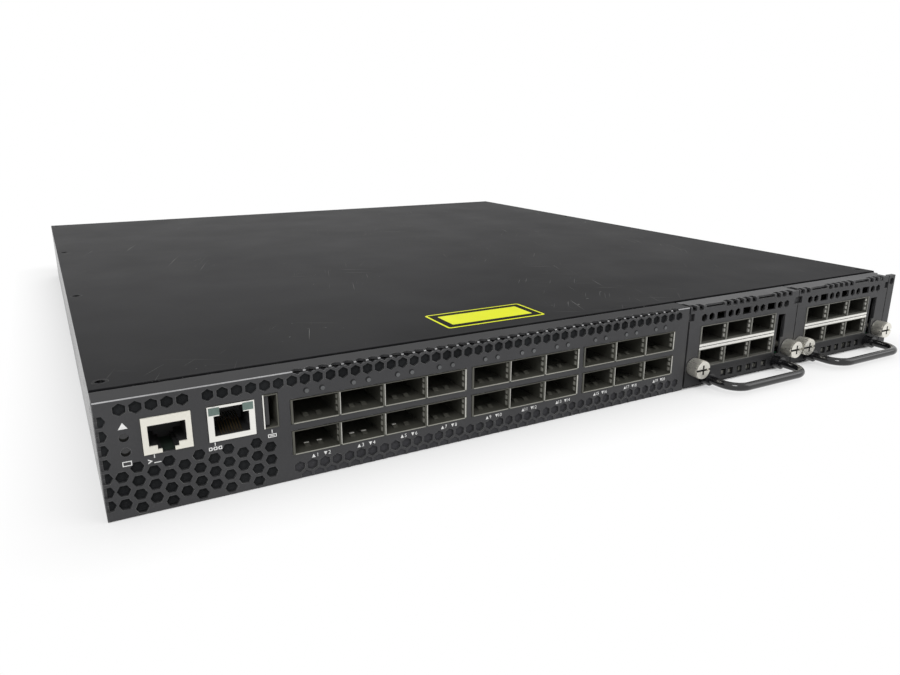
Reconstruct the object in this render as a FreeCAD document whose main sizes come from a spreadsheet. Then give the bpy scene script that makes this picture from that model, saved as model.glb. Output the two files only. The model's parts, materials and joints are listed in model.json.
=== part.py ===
import FreeCAD, Part
import math
import os
import Sketcher

# One-unit rack network switch with twenty fixed cage ports, two front plug-in port modules,
# five rear fan modules and two rear power supplies. Millimetres, +Z up, +Y to the rear.
# The origin is the middle of the underside; the front face lies at minus half the depth.

SIZES = [
    # Case
    ("chassis_width", 440.0),
    ("chassis_depth", 470.0),
    ("chassis_height", 43.6),
    ("sheet", 1.0),
    ("bend_radius", 0.8),
    ("front_return", 11.0),
    ("lid_seam", 2.4),
    ("lid_lip_gap", 0.4),
    ("lid_lip_lap", 4.0),
    ("lap_depth", 21.0),
    ("flange_width", 9.0),
    ("slide_gap", 0.4),
    ("panel_gap", 0.2),
    # Lid screws
    ("lid_screw_inset", 4.3),
    ("lid_screw_first", 21.3),
    ("lid_screw_last", 4.7),
    ("lid_screw_radius", 1.5),
    ("lid_screw_head", 2.8),
    ("lid_screw_length", 6.0),
    ("lid_screw_play", 0.05),
    # Rack ear holes in the side walls
    ("ear_hole_radius", 1.65),
    ("ear_first", 26.0),
    ("ear_spacing_y", 32.0),
    ("ear_low", 12.0),
    ("ear_spacing_z", 20.0),
    # Hexagonal vents of the front panel
    ("hex_flats", 4.0),
    ("vent_pitch", 5.0),
    ("vent_margin", 6.0),
    ("top_row_z", 39.9),
    ("top_row_first", 7.9),
    ("top_row_second", 36.3),
    ("fold_row_first", 68.8),
    ("bottom_row_z", 5.1),
    ("bottom_row_first", 67.5),
    ("bottom_fold_first", 70.0),
    ("row_rise", 4.33),
    ("block_pitch", 5.07),
    ("block_rise", 5.1),
    ("edge_column_x", 1.15),
    ("edge_column_z", 5.9),
    ("odd_column_z", 5.5),
    ("even_column_z", 3.0),
    # Cage ports
    ("port_pitch", 18.7),
    ("port_width", 17.6),
    ("port_height", 9.0),
    ("port_low_z", 10.9),
    ("port_rise", 12.5),
    ("cage_rim", 0.3),
    ("cage_proud", 0.3),
    ("cage_depth", 44.0),
    ("cage_top_wall", 1.6),
    ("cage_back", 1.0),
    ("plug_depth", 12.0),
    ("plug_height", 4.5),
    ("plug_inset", 1.4),
    ("group_a_x", 65.5),
    ("group_gap", 3.25),
    # Jacks and lamps left of the ports
    ("console_x", 13.8),
    ("console_width", 16.2),
    ("jack_z", 22.2),
    ("jack_height", 13.3),
    ("jack_depth", 21.0),
    ("jack_proud", 0.5),
    ("jack_hole_width", 12.4),
    ("jack_hole_height", 7.6),
    ("jack_hole_depth", 14.0),
    ("jack_hole_rise", 2.8),
    ("latch_width", 7.0),
    ("latch_slim", 4.2),
    ("latch_step", 1.5),
    ("manager_x", 35.4),
    ("manager_width", 16.6),
    ("manager_hole_rise", 2.0),
    ("manager_latch", 8.4),
    ("manager_step", 2.8),
    ("usb_x", 55.0),
    ("usb_width", 5.6),
    ("usb_z", 23.2),
    ("usb_height", 13.2),
    ("usb_wall", 0.5),
    ("usb_depth", 14.0),
    ("usb_tongue", 1.8),
    ("lamp_x", 8.3),
    ("lamp_low_z", 24.5),
    ("lamp_rise", 5.3),
    ("lamp_radius", 1.5),
    ("lamp_flange", 2.3),
    ("lamp_recess", 0.6),
    ("lamp_play", 0.1),
    # Boards inside
    ("board_z", 6.8),
    ("board_thick", 2.2),
    ("board_edge", 3.0),
    ("board_play", 5.0),
    ("standoff_radius", 3.0),
    ("post_left", 30.0),
    ("post_right", 40.0),
    ("post_first", 60.0),
    ("post_step", 160.0),
    ("riser_thick", 1.6),
    ("riser_left", 10.0),
    ("riser_right", 62.0),
    ("riser_depth", 40.0),
    ("chip_side", 48.0),
    ("chip_thick", 3.0),
    ("sink_width", 92.0),
    ("sink_depth", 80.0),
    ("sink_height", 26.0),
    ("sink_base", 4.0),
    ("fin_pitch", 7.0),
    ("fin_gap", 5.4),
    # Plug-in port modules
    ("module_gap", 0.7),
    ("module_width", 81.8),
    ("module_depth", 172.0),
    ("module_bottom", 1.6),
    ("module_floor_z", 2.6),
    ("tray_left", 8.2),
    ("tray_right", 73.5),
    ("tray_wall", 10.0),
    ("tray_wall_start", 52.0),
    ("module_cage_x", 8.5),
    ("module_board_thick", 1.6),
    ("module_vent_z", 37.0),
    ("module_vent_first", 10.0),
    ("module_vent_step", 5.2),
    ("module_vent_wide", 12.2),
    ("module_vent_group", 19.1),
    ("module_vent_size", 3.8),
    ("module_wide_size", 6.4),
    ("fold_slot_width", 3.2),
    ("fold_slot_pitch", 4.8),
    ("fold_slot_drop", 2.4),
    ("fold_slot_run", 3.2),
    ("fold_slots_left", 4.9),
    ("fold_slots_middle", 36.4),
    ("fold_slots_right", 69.9),
    ("fold_recess_drop", 1.5),
    ("fold_recess_run", 1.3),
    ("corner_notch", 3.6),
    ("edge_notch", 2.8),
    ("edge_notch_z", 38.0),
    ("low_vent_z", 4.9),
    ("low_vent_first", 28.4),
    ("low_vent_group", 19.1),
    ("side_slot_x", 67.2),
    ("side_slot_width", 5.8),
    ("side_slot_step", 4.2),
    ("side_slot_low", 9.0),
    ("side_slot_mid", 18.0),
    ("side_slot_high", 31.5),
    ("bracket_set_back", 1.6),
    ("bracket_strip", 5.8),
    # Thumbscrews
    ("thumb_inset", 5.0),
    ("thumb_z", 12.0),
    ("thumb_radius", 4.6),
    ("thumb_length", 6.8),
    ("thumb_gap", 0.3),
    ("thumb_shaft", 1.75),
    ("thumb_reach", 9.0),
    ("thumb_play", 0.1),
    ("thumb_slot", 1.1),
    # Bent rod handles
    ("pull_half", 27.5),
    ("pull_reach", 21.0),
    ("pull_rod", 2.1),
    ("pull_bend", 9.0),
    ("pull_z", 5.0),
    ("ferrule_radius", 3.3),
    ("ferrule_length", 5.0),
    ("fan_pull_half", 17.2),
    ("fan_pull_reach", 15.0),
    ("fan_pull_rod", 2.0),
    ("fan_pull_bend", 5.0),
    ("fan_pull_z", 9.0),
    ("supply_pull_half", 15.5),
    ("supply_pull_reach", 24.0),
    ("supply_pull_rod", 2.5),
    ("supply_pull_bend", 8.0),
    # Fan modules
    ("fan_first", 36.0),
    ("fan_last", 43.5),
    ("fan_window", 20.6),
    ("fan_left", 20.2),
    ("fan_right", 30.3),
    ("bay_gap", 0.3),
    ("fan_sheet", 0.8),
    ("fan_floor", 56.0),
    ("fan_side_lip", 12.0),
    ("fan_top_lip", 4.0),
    ("fan_clear", 0.4),
    ("fan_set_back", 3.0),
    ("fan_thick", 50.0),
    ("fan_bore", 17.9),
    ("hub_radius", 9.0),
    ("hub_length", 30.0),
    ("hub_gap", 1.0),
    ("motor_thick", 5.0),
    ("strut_width", 2.4),
    ("axle_radius", 1.5),
    ("axle_length", 22.0),
    ("axle_play", 0.06),
    ("blade_tip", 17.2),
    ("blade_chord", 24.0),
    ("blade_thick", 1.2),
    ("blade_pitch_angle", 42.0),
    ("grille_flats", 3.7),
    ("grille_pitch", 4.6),
    ("grille_rise", 4.1),
    ("grille_low", 15.2),
    ("grille_half", 16.1),
    ("fan_screw_x", 26.6),
    ("fan_screw_z", 32.4),
    ("fan_screw_head", 3.9),
    ("fan_screw_length", 8.5),
    ("fan_screw_shaft", 1.75),
    ("fan_screw_reach", 5.0),
    ("fan_lamp_x", 22.0),
    ("fan_lamp_z", 12.8),
    ("fan_lamp_radius", 1.0),
    # Power supplies
    ("supply_inset", 8.0),
    ("supply_pitch", 58.0),
    ("supply_width", 54.5),
    ("supply_length", 206.0),
    ("supply_proud", 0.8),
    ("supply_wall", 1.0),
    ("supply_cavity", 60.0),
    ("mesh_left", 2.2),
    ("mesh_low", 2.4),
    ("mesh_pitch_x", 8.0),
    ("mesh_pitch_z", 9.0),
    ("mesh_hole_x", 6.7),
    ("mesh_hole_z", 7.7),
    ("inlet_x", 28.5),
    ("inlet_width", 23.0),
    ("inlet_z", 6.6),
    ("inlet_height", 30.0),
    ("inlet_proud", 0.6),
    ("inlet_depth", 20.0),
    ("inlet_hole_x", 16.4),
    ("inlet_hole_z", 24.2),
    ("inlet_corner", 5.0),
    ("inlet_hole_depth", 16.0),
    ("pin_long", 4.0),
    ("pin_thick", 2.0),
    ("pin_spacing", 7.0),
    ("supply_pull_x", 26.0),
    ("supply_pull_z", 20.5),
    ("release_x", 36.0),
    ("release_width", 9.0),
    ("release_z", 1.6),
    ("release_height", 3.2),
    ("release_reach", 13.0),
    ("release_root", 16.0),
    ("release_travel", 3.0),
    ("release_play", 0.3),
    ("guide_depth", 38.0),
]

LID_SCREWS_A_SIDE = 4
POSTS_A_SIDE = 3
FAN_COUNT = 5
SUPPLY_COUNT = 2
MODULE_NAMES = ("module_left", "module_right")
BLADE_COUNT = 7
STRUT_COUNT = 3
MESH_COLUMNS = 3
MESH_ROWS = 4
MODULE_COLUMNS = 3
CROSS_PART = 0.55
BLOCK_CLEAR = 0.8
NEAR = 0.01
HEX_RATIO = 1 / math.sqrt(3)
PLANE_ROLES = {"XY": ("XY_Plane", 1), "XZ": ("XZ_Plane", -1), "YZ": ("YZ_Plane", 1)}
UPRIGHT = FreeCAD.Rotation()
ALONG_X = FreeCAD.Rotation(FreeCAD.Vector(0, 1, 0), 90)
ALONG_Y = FreeCAD.Rotation(FreeCAD.Vector(1, 0, 0), -90)

doc = FreeCAD.newDocument("ethernet_switch")
spec = doc.addObject("Spreadsheet::Sheet", "Spec")
nodes = []


class Size:
    """A number together with the sheet expression that gives it."""

    def __init__(self, number, text):
        self.number = number
        self.text = text

    def __add__(self, other):
        other = as_size(other)
        return Size(self.number + other.number, f"({self.text} + {other.text})")

    def __radd__(self, other):
        return as_size(other) + self

    def __sub__(self, other):
        other = as_size(other)
        return Size(self.number - other.number, f"({self.text} - {other.text})")

    def __rsub__(self, other):
        return as_size(other) - self

    def __mul__(self, other):
        other = as_size(other)
        return Size(self.number * other.number, f"({self.text} * {other.text})")

    def __rmul__(self, other):
        return as_size(other) * self

    def __truediv__(self, other):
        other = as_size(other)
        return Size(self.number / other.number, f"({self.text} / {other.text})")

    def __neg__(self):
        return 0 - self


def as_size(value):
    """A plain number as a Size."""
    if isinstance(value, Size):
        return value
    return Size(float(value), repr(float(value)))


def fitting(span, pitch):
    """How many holes at a pitch fit on a span, as a Size."""
    ratio = as_size(span) / pitch
    return Size(math.floor(ratio.number) + 1, f"(floor({ratio.text}) + 1)")


def smaller(first, second):
    """The smaller of two sizes."""
    return Size(min(first.number, second.number), f"min({first.text}; {second.text})")


class Dimensions:
    """Every driving dimension, by name."""


dim = Dimensions()
for row, (alias, number) in enumerate(SIZES, start=1):
    spec.set(f"A{row}", alias)
    spec.set(f"B{row}", str(number))
    spec.setAlias(f"B{row}", alias)
    setattr(dim, alias, Size(number, f"Spec.{alias}"))
doc.recompute()

left = -(dim.chassis_width / 2)
right = dim.chassis_width / 2
front = -(dim.chassis_depth / 2)
rear = dim.chassis_depth / 2
lid_under = dim.chassis_height - dim.sheet
board_top = dim.board_z + dim.board_thick
lid_screw_pitch = (dim.chassis_depth - dim.lid_screw_first - dim.lid_screw_last) / (LID_SCREWS_A_SIDE - 1)
module_pitch = dim.module_width + dim.module_gap
slot_x = dim.chassis_width - dim.bracket_strip - dim.module_gap - module_pitch * len(MODULE_NAMES)
module_edge = left + slot_x + dim.module_gap
group_b_x = dim.group_a_x + dim.port_pitch * 4 + dim.group_gap
group_c_x = group_b_x + dim.port_pitch * 3 + dim.group_gap
port_groups = ((left + dim.group_a_x, 4), (left + group_b_x, 3), (left + group_c_x, 3))
rear_window_top = lid_under - dim.sheet
bay_low = dim.sheet + dim.bay_gap
bay_height = rear_window_top - dim.bay_gap - bay_low
supply_x = dim.chassis_width - dim.supply_inset - dim.supply_width - dim.supply_pitch * (SUPPLY_COUNT - 1)
fan_pitch = (supply_x - dim.fan_last - dim.fan_first) / (FAN_COUNT - 1)
fan_side = smaller(
    bay_height - dim.fan_sheet * 2 - dim.fan_clear,
    (dim.fan_left - dim.fan_sheet - dim.fan_clear) * 2,
)
bracket_top = lid_under - dim.lid_lip_gap - dim.sheet - dim.panel_gap
module_top = bracket_top - dim.sheet - dim.slide_gap * 2


def bind(thing, **sizes):
    """Ties properties of an object to the sheet; a double underscore stands for a dot."""
    for name, size in sizes.items():
        thing.setExpression(name.replace("__", "."), as_size(size).text)


def put(thing, x, y, z, rotation=UPRIGHT):
    """Places an object at a point that follows the sheet."""
    thing.Placement = FreeCAD.Placement(FreeCAD.Vector(0, 0, 0), rotation)
    bind(thing, Placement__Base__x=x, Placement__Base__y=y, Placement__Base__z=z)
    return thing


def node(label, thing):
    """Gives a finished sub-part its name and lists it for export."""
    thing.Label = label
    nodes.append(thing)
    return thing


def rectangle(low_x, high_x, low_y, high_y):
    """Corner points of an upright rectangle."""
    return [(low_x, low_y), (high_x, low_y), (high_x, high_y), (low_x, high_y)]


def hexagon(x, y, flats, pointed):
    """Corner points of a regular hexagon, with a corner or a flat side uppermost."""
    corner = flats * HEX_RATIO
    if pointed:
        offsets = [(0, 1, 0, 0), (0, 0.5, 0.5, 0), (0, -0.5, 0.5, 0)]
        offsets += [(0, -1, 0, 0), (0, -0.5, -0.5, 0), (0, 0.5, -0.5, 0)]
    else:
        offsets = [(1, 0, 0, 0), (0.5, 0, 0, 0.5), (-0.5, 0, 0, 0.5)]
        offsets += [(-1, 0, 0, 0), (-0.5, 0, 0, -0.5), (0.5, 0, 0, -0.5)]
    return [
        (x + corner * cx + flats * fx, y + corner * cy + flats * fy)
        for cx, cy, fx, fy in offsets
    ]


class Piece:
    """A body that grows by pads and is opened by pockets drawn on its own origin planes."""

    def __init__(self, label):
        self.body = doc.addObject("PartDesign::Body", label)

    def sketch(self, plane, at, loops):
        """Draws closed loops, each a list of corners or a (x, y, radius) circle."""
        role, sign = PLANE_ROLES[plane]
        drawing = self.body.newObject("Sketcher::SketchObject", "Sketch")
        support = [f for f in self.body.Origin.OriginFeatures if f.Role == role]
        drawing.AttachmentSupport = [(support[0], "")]
        drawing.MapMode = "FlatFace"
        bind(drawing, AttachmentOffset__Base__z=as_size(at) * sign)
        joins = []
        ties = []
        for loop in loops:
            if isinstance(loop, tuple):
                ties += self.draw_circle(drawing, *loop)
            else:
                ties += self.draw_outline(drawing, loop, joins)
        rules = [Sketcher.Constraint(kind, *elements, size.number) for kind, elements, size in ties]
        drawing.addConstraint(joins + rules)
        for index, (kind, elements, size) in enumerate(ties, start=len(joins)):
            drawing.renameConstraint(index, f"size{index}")
            drawing.setExpression(f"Constraints.size{index}", size.text)
        return drawing

    def tie_point(self, element, place, x, y):
        """The two distances from the origin that fix one point of a sketch."""
        return [
            ("DistanceX", (-1, 1, element, place), x),
            ("DistanceY", (-1, 1, element, place), y),
        ]

    def draw_circle(self, drawing, x, y, radius):
        """Adds a circle and returns its driven dimensions."""
        x, y, radius = as_size(x), as_size(y), as_size(radius)
        centre = FreeCAD.Vector(x.number, y.number, 0)
        circle = Part.Circle(centre, FreeCAD.Vector(0, 0, 1), radius.number)
        element = drawing.addGeometry(circle, False)
        return [*self.tie_point(element, 3, x, y), ("Radius", (element,), radius)]

    def draw_outline(self, drawing, corners, joins):
        """Adds a closed outline of straight sides and returns its driven dimensions."""
        corners = [(as_size(x), as_size(y)) for x, y in corners]
        points = [FreeCAD.Vector(x.number, y.number, 0) for x, y in corners]
        following = points[1:] + points[:1]
        elements = drawing.addGeometry([Part.LineSegment(a, b) for a, b in zip(points, following)], False)
        for first, second in zip(elements, elements[1:] + elements[:1]):
            joins.append(Sketcher.Constraint("Coincident", first, 2, second, 1))
        ties = []
        for element, (x, y) in zip(elements, corners):
            ties += self.tie_point(element, 1, x, y)
        return ties

    def pad(self, plane, at, length, *loops):
        """Adds material from a plane in its positive direction."""
        drawing = self.sketch(plane, at, loops)
        feature = self.body.newObject("PartDesign::Pad", "Pad")
        feature.Profile = drawing
        feature.Reversed = PLANE_ROLES[plane][1] < 0
        bind(feature, Length=length)
        return self

    def pocket(self, plane, at, length, *loops):
        """Takes material away from a plane in its positive direction."""
        drawing = self.sketch(plane, at, loops)
        self.cutter = self.body.newObject("PartDesign::Pocket", "Pocket")
        self.cutter.Profile = drawing
        self.cutter.Reversed = PLANE_ROLES[plane][1] > 0
        self.cutter.Refine = False
        bind(self.cutter, Length=length)
        return self

    def repeat(self, pitch, count, pitch_up=None, count_up=None):
        """Repeats the last pocket along its sketch's first and second axes."""
        pattern = self.body.newObject("PartDesign::LinearPattern", "Pattern")
        drawing = self.cutter.Profile[0]
        pattern.Originals = [self.cutter]
        pattern.Refine = False
        pattern.Direction = (drawing, ["H_Axis"])
        bind(pattern, Length=as_size(pitch) * (as_size(count) - 1), Occurrences=count)
        if pitch_up is not None:
            pattern.Direction2 = (drawing, ["V_Axis"])
            bind(pattern, Length2=as_size(pitch_up) * (as_size(count_up) - 1))
            bind(pattern, Occurrences2=count_up)
        self.body.Tip = pattern
        return self

    def round_edges(self, radius, wanted):
        """Rounds every straight edge whose two ends satisfy a test."""
        doc.recompute()
        base = self.body.Tip
        names = []
        for number, edge in enumerate(base.Shape.Edges, start=1):
            if all(wanted(vertex.Point) for vertex in edge.Vertexes):
                names.append(f"Edge{number}")
        feature = self.body.newObject("PartDesign::Fillet", "Fillet")
        feature.Base = (base, names)
        bind(feature, Radius=radius)
        return self


def block(x, y, z, width, depth, height):
    """A box from its lowest corner."""
    box = doc.addObject("Part::Box", "Box")
    bind(box, Length=width, Width=depth, Height=height)
    return put(box, x, y, z)


def rod(x, y, z, radius, length, rotation=ALONG_Y):
    """A round bar from the middle of its first end."""
    bar = doc.addObject("Part::Cylinder", "Rod")
    bind(bar, Radius=radius, Height=length)
    return put(bar, x, y, z, rotation)


def taper(x, y, z, first, second, length, rotation=ALONG_Y):
    """A round bar that changes radius from its first end to its second."""
    cone = doc.addObject("Part::Cone", "Taper")
    bind(cone, Radius1=first, Radius2=second, Height=length)
    return put(cone, x, y, z, rotation)


def bend(x, y, radius, rod_radius, turn):
    """A quarter of a ring, for a bent rod."""
    ring = doc.addObject("Part::Torus", "Bend")
    ring.Angle3 = 90
    bind(ring, Radius1=radius, Radius2=rod_radius)
    return put(ring, x, y, 0, FreeCAD.Rotation(FreeCAD.Vector(0, 0, 1), turn))


def fuse(*shapes):
    """Joins shapes into one solid."""
    joined = doc.addObject("Part::MultiFuse", "Fuse")
    joined.Shapes = list(shapes)
    return joined


def cut(base, *tools):
    """Takes tools away from a shape."""
    tool = tools[0] if len(tools) == 1 else group(*tools)
    result = doc.addObject("Part::Cut", "Cut")
    result.Base = base
    result.Tool = tool
    return result


def common(first, second):
    """Keeps what two shapes share."""
    shared = doc.addObject("Part::MultiCommon", "Common")
    shared.Shapes = [first, second]
    return shared


def group(*shapes):
    """Separate solids held together as one object."""
    compound = doc.addObject("Part::Compound", "Group")
    compound.Links = list(shapes)
    return compound


def copy(label, original, shift):
    """A further piece like an earlier one, set over along X."""
    return node(label, put(group(original), shift, 0, 0))


def lid_screw_places():
    """The X and Y places of the lid screws, both sides of the case."""
    along = [front + dim.lid_screw_first + lid_screw_pitch * i for i in range(LID_SCREWS_A_SIDE)]
    across = [left + dim.lid_screw_inset, right - dim.lid_screw_inset]
    return [(x, y) for x in across for y in along]


def board_posts():
    """The X and Y places of the posts that carry the main board."""
    across = [left + dim.post_left, left + slot_x - dim.post_right]
    along = [front + dim.post_first + dim.post_step * i for i in range(POSTS_A_SIDE)]
    return [(x, y) for x in across for y in along]


def slot_wall_notch(start):
    """Room in a lap strip for the two folded walls where the front panel meets the module slot."""
    middle = left + slot_x
    half = dim.sheet + dim.panel_gap
    return rectangle(middle - half, middle + half, start, front + dim.front_return + dim.panel_gap)


def build_base_tray():
    """Folded floor and side walls with inward top flanges and a lap strip for the front."""
    inner = dim.chassis_width / 2 - dim.sheet
    flange = dim.chassis_width / 2 - dim.flange_width
    start = front + dim.front_return
    profile = [
        (left, 0), (right, 0), (right, lid_under), (flange, lid_under),
        (flange, lid_under - dim.sheet), (inner, lid_under - dim.sheet), (inner, dim.sheet),
        (-inner, dim.sheet), (-inner, lid_under - dim.sheet), (-flange, lid_under - dim.sheet),
        (-flange, lid_under), (left, lid_under),
    ]
    tray = Piece("base_tray")
    tray.pad("XZ", start, rear - dim.sheet - start, profile)
    lap_in = inner - dim.sheet
    lap_top = lid_under - dim.sheet * 3
    lap = [
        (-inner, dim.sheet), (inner, dim.sheet), (inner, lap_top), (lap_in, lap_top),
        (lap_in, dim.sheet * 2), (-lap_in, dim.sheet * 2), (-lap_in, lap_top), (-inner, lap_top),
    ]
    lap_start = front + dim.sheet * 3
    tray.pad("XZ", lap_start, dim.lap_depth, lap)
    tray.pocket("XY", dim.sheet, dim.sheet, slot_wall_notch(lap_start))
    posts = [(x, y, dim.standoff_radius) for x, y in board_posts()]
    tray.pad("XY", dim.sheet, dim.board_z - dim.sheet, *posts)
    screw_hole = dim.lid_screw_radius + dim.lid_screw_play
    holes = [(x, y, screw_hole) for x, y in lid_screw_places()]
    tray.pocket("XY", lid_under - dim.sheet, dim.sheet, *holes)
    ear_y = (front + dim.ear_first, front + dim.ear_first + dim.ear_spacing_y)
    ear_z = (dim.ear_low, dim.ear_low + dim.ear_spacing_z)
    ears = [(y, z, dim.ear_hole_radius) for y in ear_y for z in ear_z]
    tray.pocket("YZ", left, dim.sheet, *ears)
    tray.pocket("YZ", right - dim.sheet, dim.sheet, *ears)
    return node("base_tray", tray.body)


def cage_windows(x, columns):
    """The two panel windows in front of a cage, from the cage's left edge."""
    play = dim.panel_gap + dim.cage_rim
    wide = dim.port_pitch * columns
    windows = []
    for level in range(2):
        low = dim.port_low_z + dim.port_rise * level
        high = low + dim.port_height
        windows.append(rectangle(x - play, x + wide + play, low - play, high + play))
    return windows


def build_front_panel():
    """Folded front pan whose hexagonal vents run on over its folds."""
    wide = slot_x
    edge = left + wide
    pan = Piece("Pan")
    pan.pad("XZ", front, dim.front_return, rectangle(left, edge, 0, dim.chassis_height))

    def outer_fold(point):
        on_face = abs(point.y - front.number) < NEAR
        at_side = abs(point.x - left.number) < NEAR
        at_level = point.z < NEAR or abs(point.z - dim.chassis_height.number) < NEAR
        return on_face and (at_side or at_level)

    pan.round_edges(dim.bend_radius, outer_fold)
    hollow = rectangle(left + dim.sheet, edge - dim.sheet, dim.sheet, lid_under)
    pan.pocket("XZ", front + dim.sheet, dim.front_return - dim.sheet, hollow)

    gap = dim.panel_gap
    openings = []
    for x, columns in port_groups:
        openings += cage_windows(x, columns)
    for x, width in ((dim.console_x, dim.console_width), (dim.manager_x, dim.manager_width)):
        low = left + x - gap
        jack_top = dim.jack_z + dim.jack_height
        openings.append(rectangle(low, low + width + gap * 2, dim.jack_z - gap, jack_top + gap))
    usb = left + dim.usb_x
    openings.append(
        rectangle(usb - gap, usb + dim.usb_width + gap, dim.usb_z - gap, dim.usb_z + dim.usb_height + gap)
    )
    for level in range(2):
        lamp_z = dim.lamp_low_z + dim.lamp_rise * level
        openings.append((left + dim.lamp_x, lamp_z, dim.lamp_radius + dim.lamp_play))
    pan.pocket("XZ", front, dim.sheet, *openings)

    return node("front_panel", cut(cut(pan.body, *front_vents()), *fold_vents()))


def vent_row(first, end):
    """The X places of a row of vents, from the panel's left edge."""
    count = int(fitting(end - first, dim.vent_pitch).number)
    return [left + first + dim.vent_pitch * step for step in range(count)]


def front_vents():
    """Punches for the hexagons of the front face, whole and up to its folds."""
    last = slot_x - dim.vent_margin
    console_end = dim.console_x + dim.console_width
    rows = [
        (dim.top_row_z, vent_row(dim.top_row_first, console_end)),
        (dim.top_row_z, vent_row(dim.top_row_second, last)),
        (dim.bottom_row_z, vent_row(dim.bottom_row_first, last)),
        (dim.top_row_z + dim.row_rise, vent_row(dim.fold_row_first, last)),
        (dim.bottom_row_z - dim.row_rise, vent_row(dim.bottom_fold_first, last)),
    ]
    punches = [punch(x, front, z, ALONG_Y, True) for z, row in rows for x in row]
    punches += [punch(left + dim.edge_column_x, front, z, ALONG_Y, False) for z in edge_column()]
    block_end = dim.usb_x + dim.usb_width - dim.hex_flats / 2
    block_top = dim.jack_z - dim.panel_gap - dim.hex_flats * BLOCK_CLEAR
    for column, low in ((1, dim.odd_column_z), (2, dim.even_column_z)):
        x = dim.edge_column_x + dim.block_pitch * column
        step = dim.block_pitch * 2
        across = range(int(fitting(block_end - x, step).number))
        upward = range(int(fitting(block_top - low, dim.block_rise).number))
        for i in across:
            for j in upward:
                punches.append(punch(left + x + step * i, front, low + dim.block_rise * j, ALONG_Y, False))
    return punches


def edge_column():
    """The heights of the vents that run round the left fold."""
    end = dim.top_row_z - dim.hex_flats / 2 - dim.edge_column_z
    count = int(fitting(end, dim.block_rise).number)
    return [dim.edge_column_z + dim.block_rise * step for step in range(count)]


def fold_vents():
    """Punches for the rest of the hexagons, past the top, bottom and left folds."""
    last = slot_x - dim.vent_margin
    over = front + dim.top_row_z + dim.row_rise - dim.chassis_height
    under = front - dim.bottom_row_z + dim.row_rise
    round_left = front - dim.edge_column_x
    punches = [punch(x, over, lid_under, UPRIGHT, True) for x in vent_row(dim.fold_row_first, last)]
    punches += [punch(x, under, 0, UPRIGHT, True) for x in vent_row(dim.bottom_fold_first, last)]
    punches += [punch(left, round_left, z, ALONG_X, True) for z in edge_column()]
    return punches


def punch(x, y, z, rotation, turned):
    """A hexagonal punch one sheet thick, turned a twelfth of a turn where a corner leads."""
    prism = doc.addObject("Part::Prism", "Punch")
    prism.Polygon = 6
    bind(prism, Circumradius=dim.hex_flats * HEX_RATIO, Height=dim.sheet)
    spin = FreeCAD.Rotation(FreeCAD.Vector(0, 0, 1), 30 if turned else 0)
    return put(prism, x, y, z, rotation.multiply(spin))


def build_top_cover():
    """Flat lid with a lowered front lip and countersunk screw holes."""
    lid_front = front + dim.front_return + dim.lid_seam
    lip_top = lid_under - dim.lid_lip_gap
    lip_low = lip_top - dim.sheet
    lip_front = front + dim.sheet * 3
    lip_end = lid_front + dim.lid_lip_lap
    inner = dim.chassis_width / 2 - dim.flange_width - dim.slide_gap
    lid = Piece("Lid")
    lid.pad("XY", lid_under, dim.sheet, rectangle(left, right, lid_front, rear))
    lid.pad("YZ", -inner, inner * 2, [
        (lip_front, lip_low), (lip_end, lip_low), (lip_end, lid_under), (lid_front, lid_under),
        (lid_front, lip_top), (lip_front, lip_top),
    ])
    lid.pocket("XY", lip_low, dim.sheet, slot_wall_notch(lip_front))
    lid.round_edges(dim.bend_radius / 2, lambda point: point.z > dim.chassis_height.number - NEAR)
    sinks = []
    for x, y in lid_screw_places():
        sinks.append(rod(x, y, lid_under, dim.lid_screw_radius + dim.lid_screw_play, dim.sheet, UPRIGHT))
        sinks.append(taper(x, y, lid_under, dim.lid_screw_radius + dim.lid_screw_play,
                           dim.lid_screw_head + dim.lid_screw_play, dim.sheet, UPRIGHT))
    return node("top_cover", cut(lid.body, *sinks))


def build_cover_screws():
    """Eight countersunk screws that hold the lid."""
    screws = []
    for x, y in lid_screw_places():
        low = dim.chassis_height - dim.lid_screw_length
        shank = rod(x, y, low, dim.lid_screw_radius, dim.lid_screw_length - dim.sheet, UPRIGHT)
        head = taper(x, y, lid_under, dim.lid_screw_radius, dim.lid_screw_head, dim.sheet, UPRIGHT)
        screws.append(fuse(shank, head))
    return node("cover_screws", group(*screws))


def fan_middle(number):
    """The X place of a fan bay's middle, counted from the case's left wall."""
    return left + dim.fan_first + fan_pitch * number


def supply_edge(number):
    """The X place of a power supply's left side, seen from the front."""
    return left + supply_x + dim.supply_pitch * number


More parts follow.
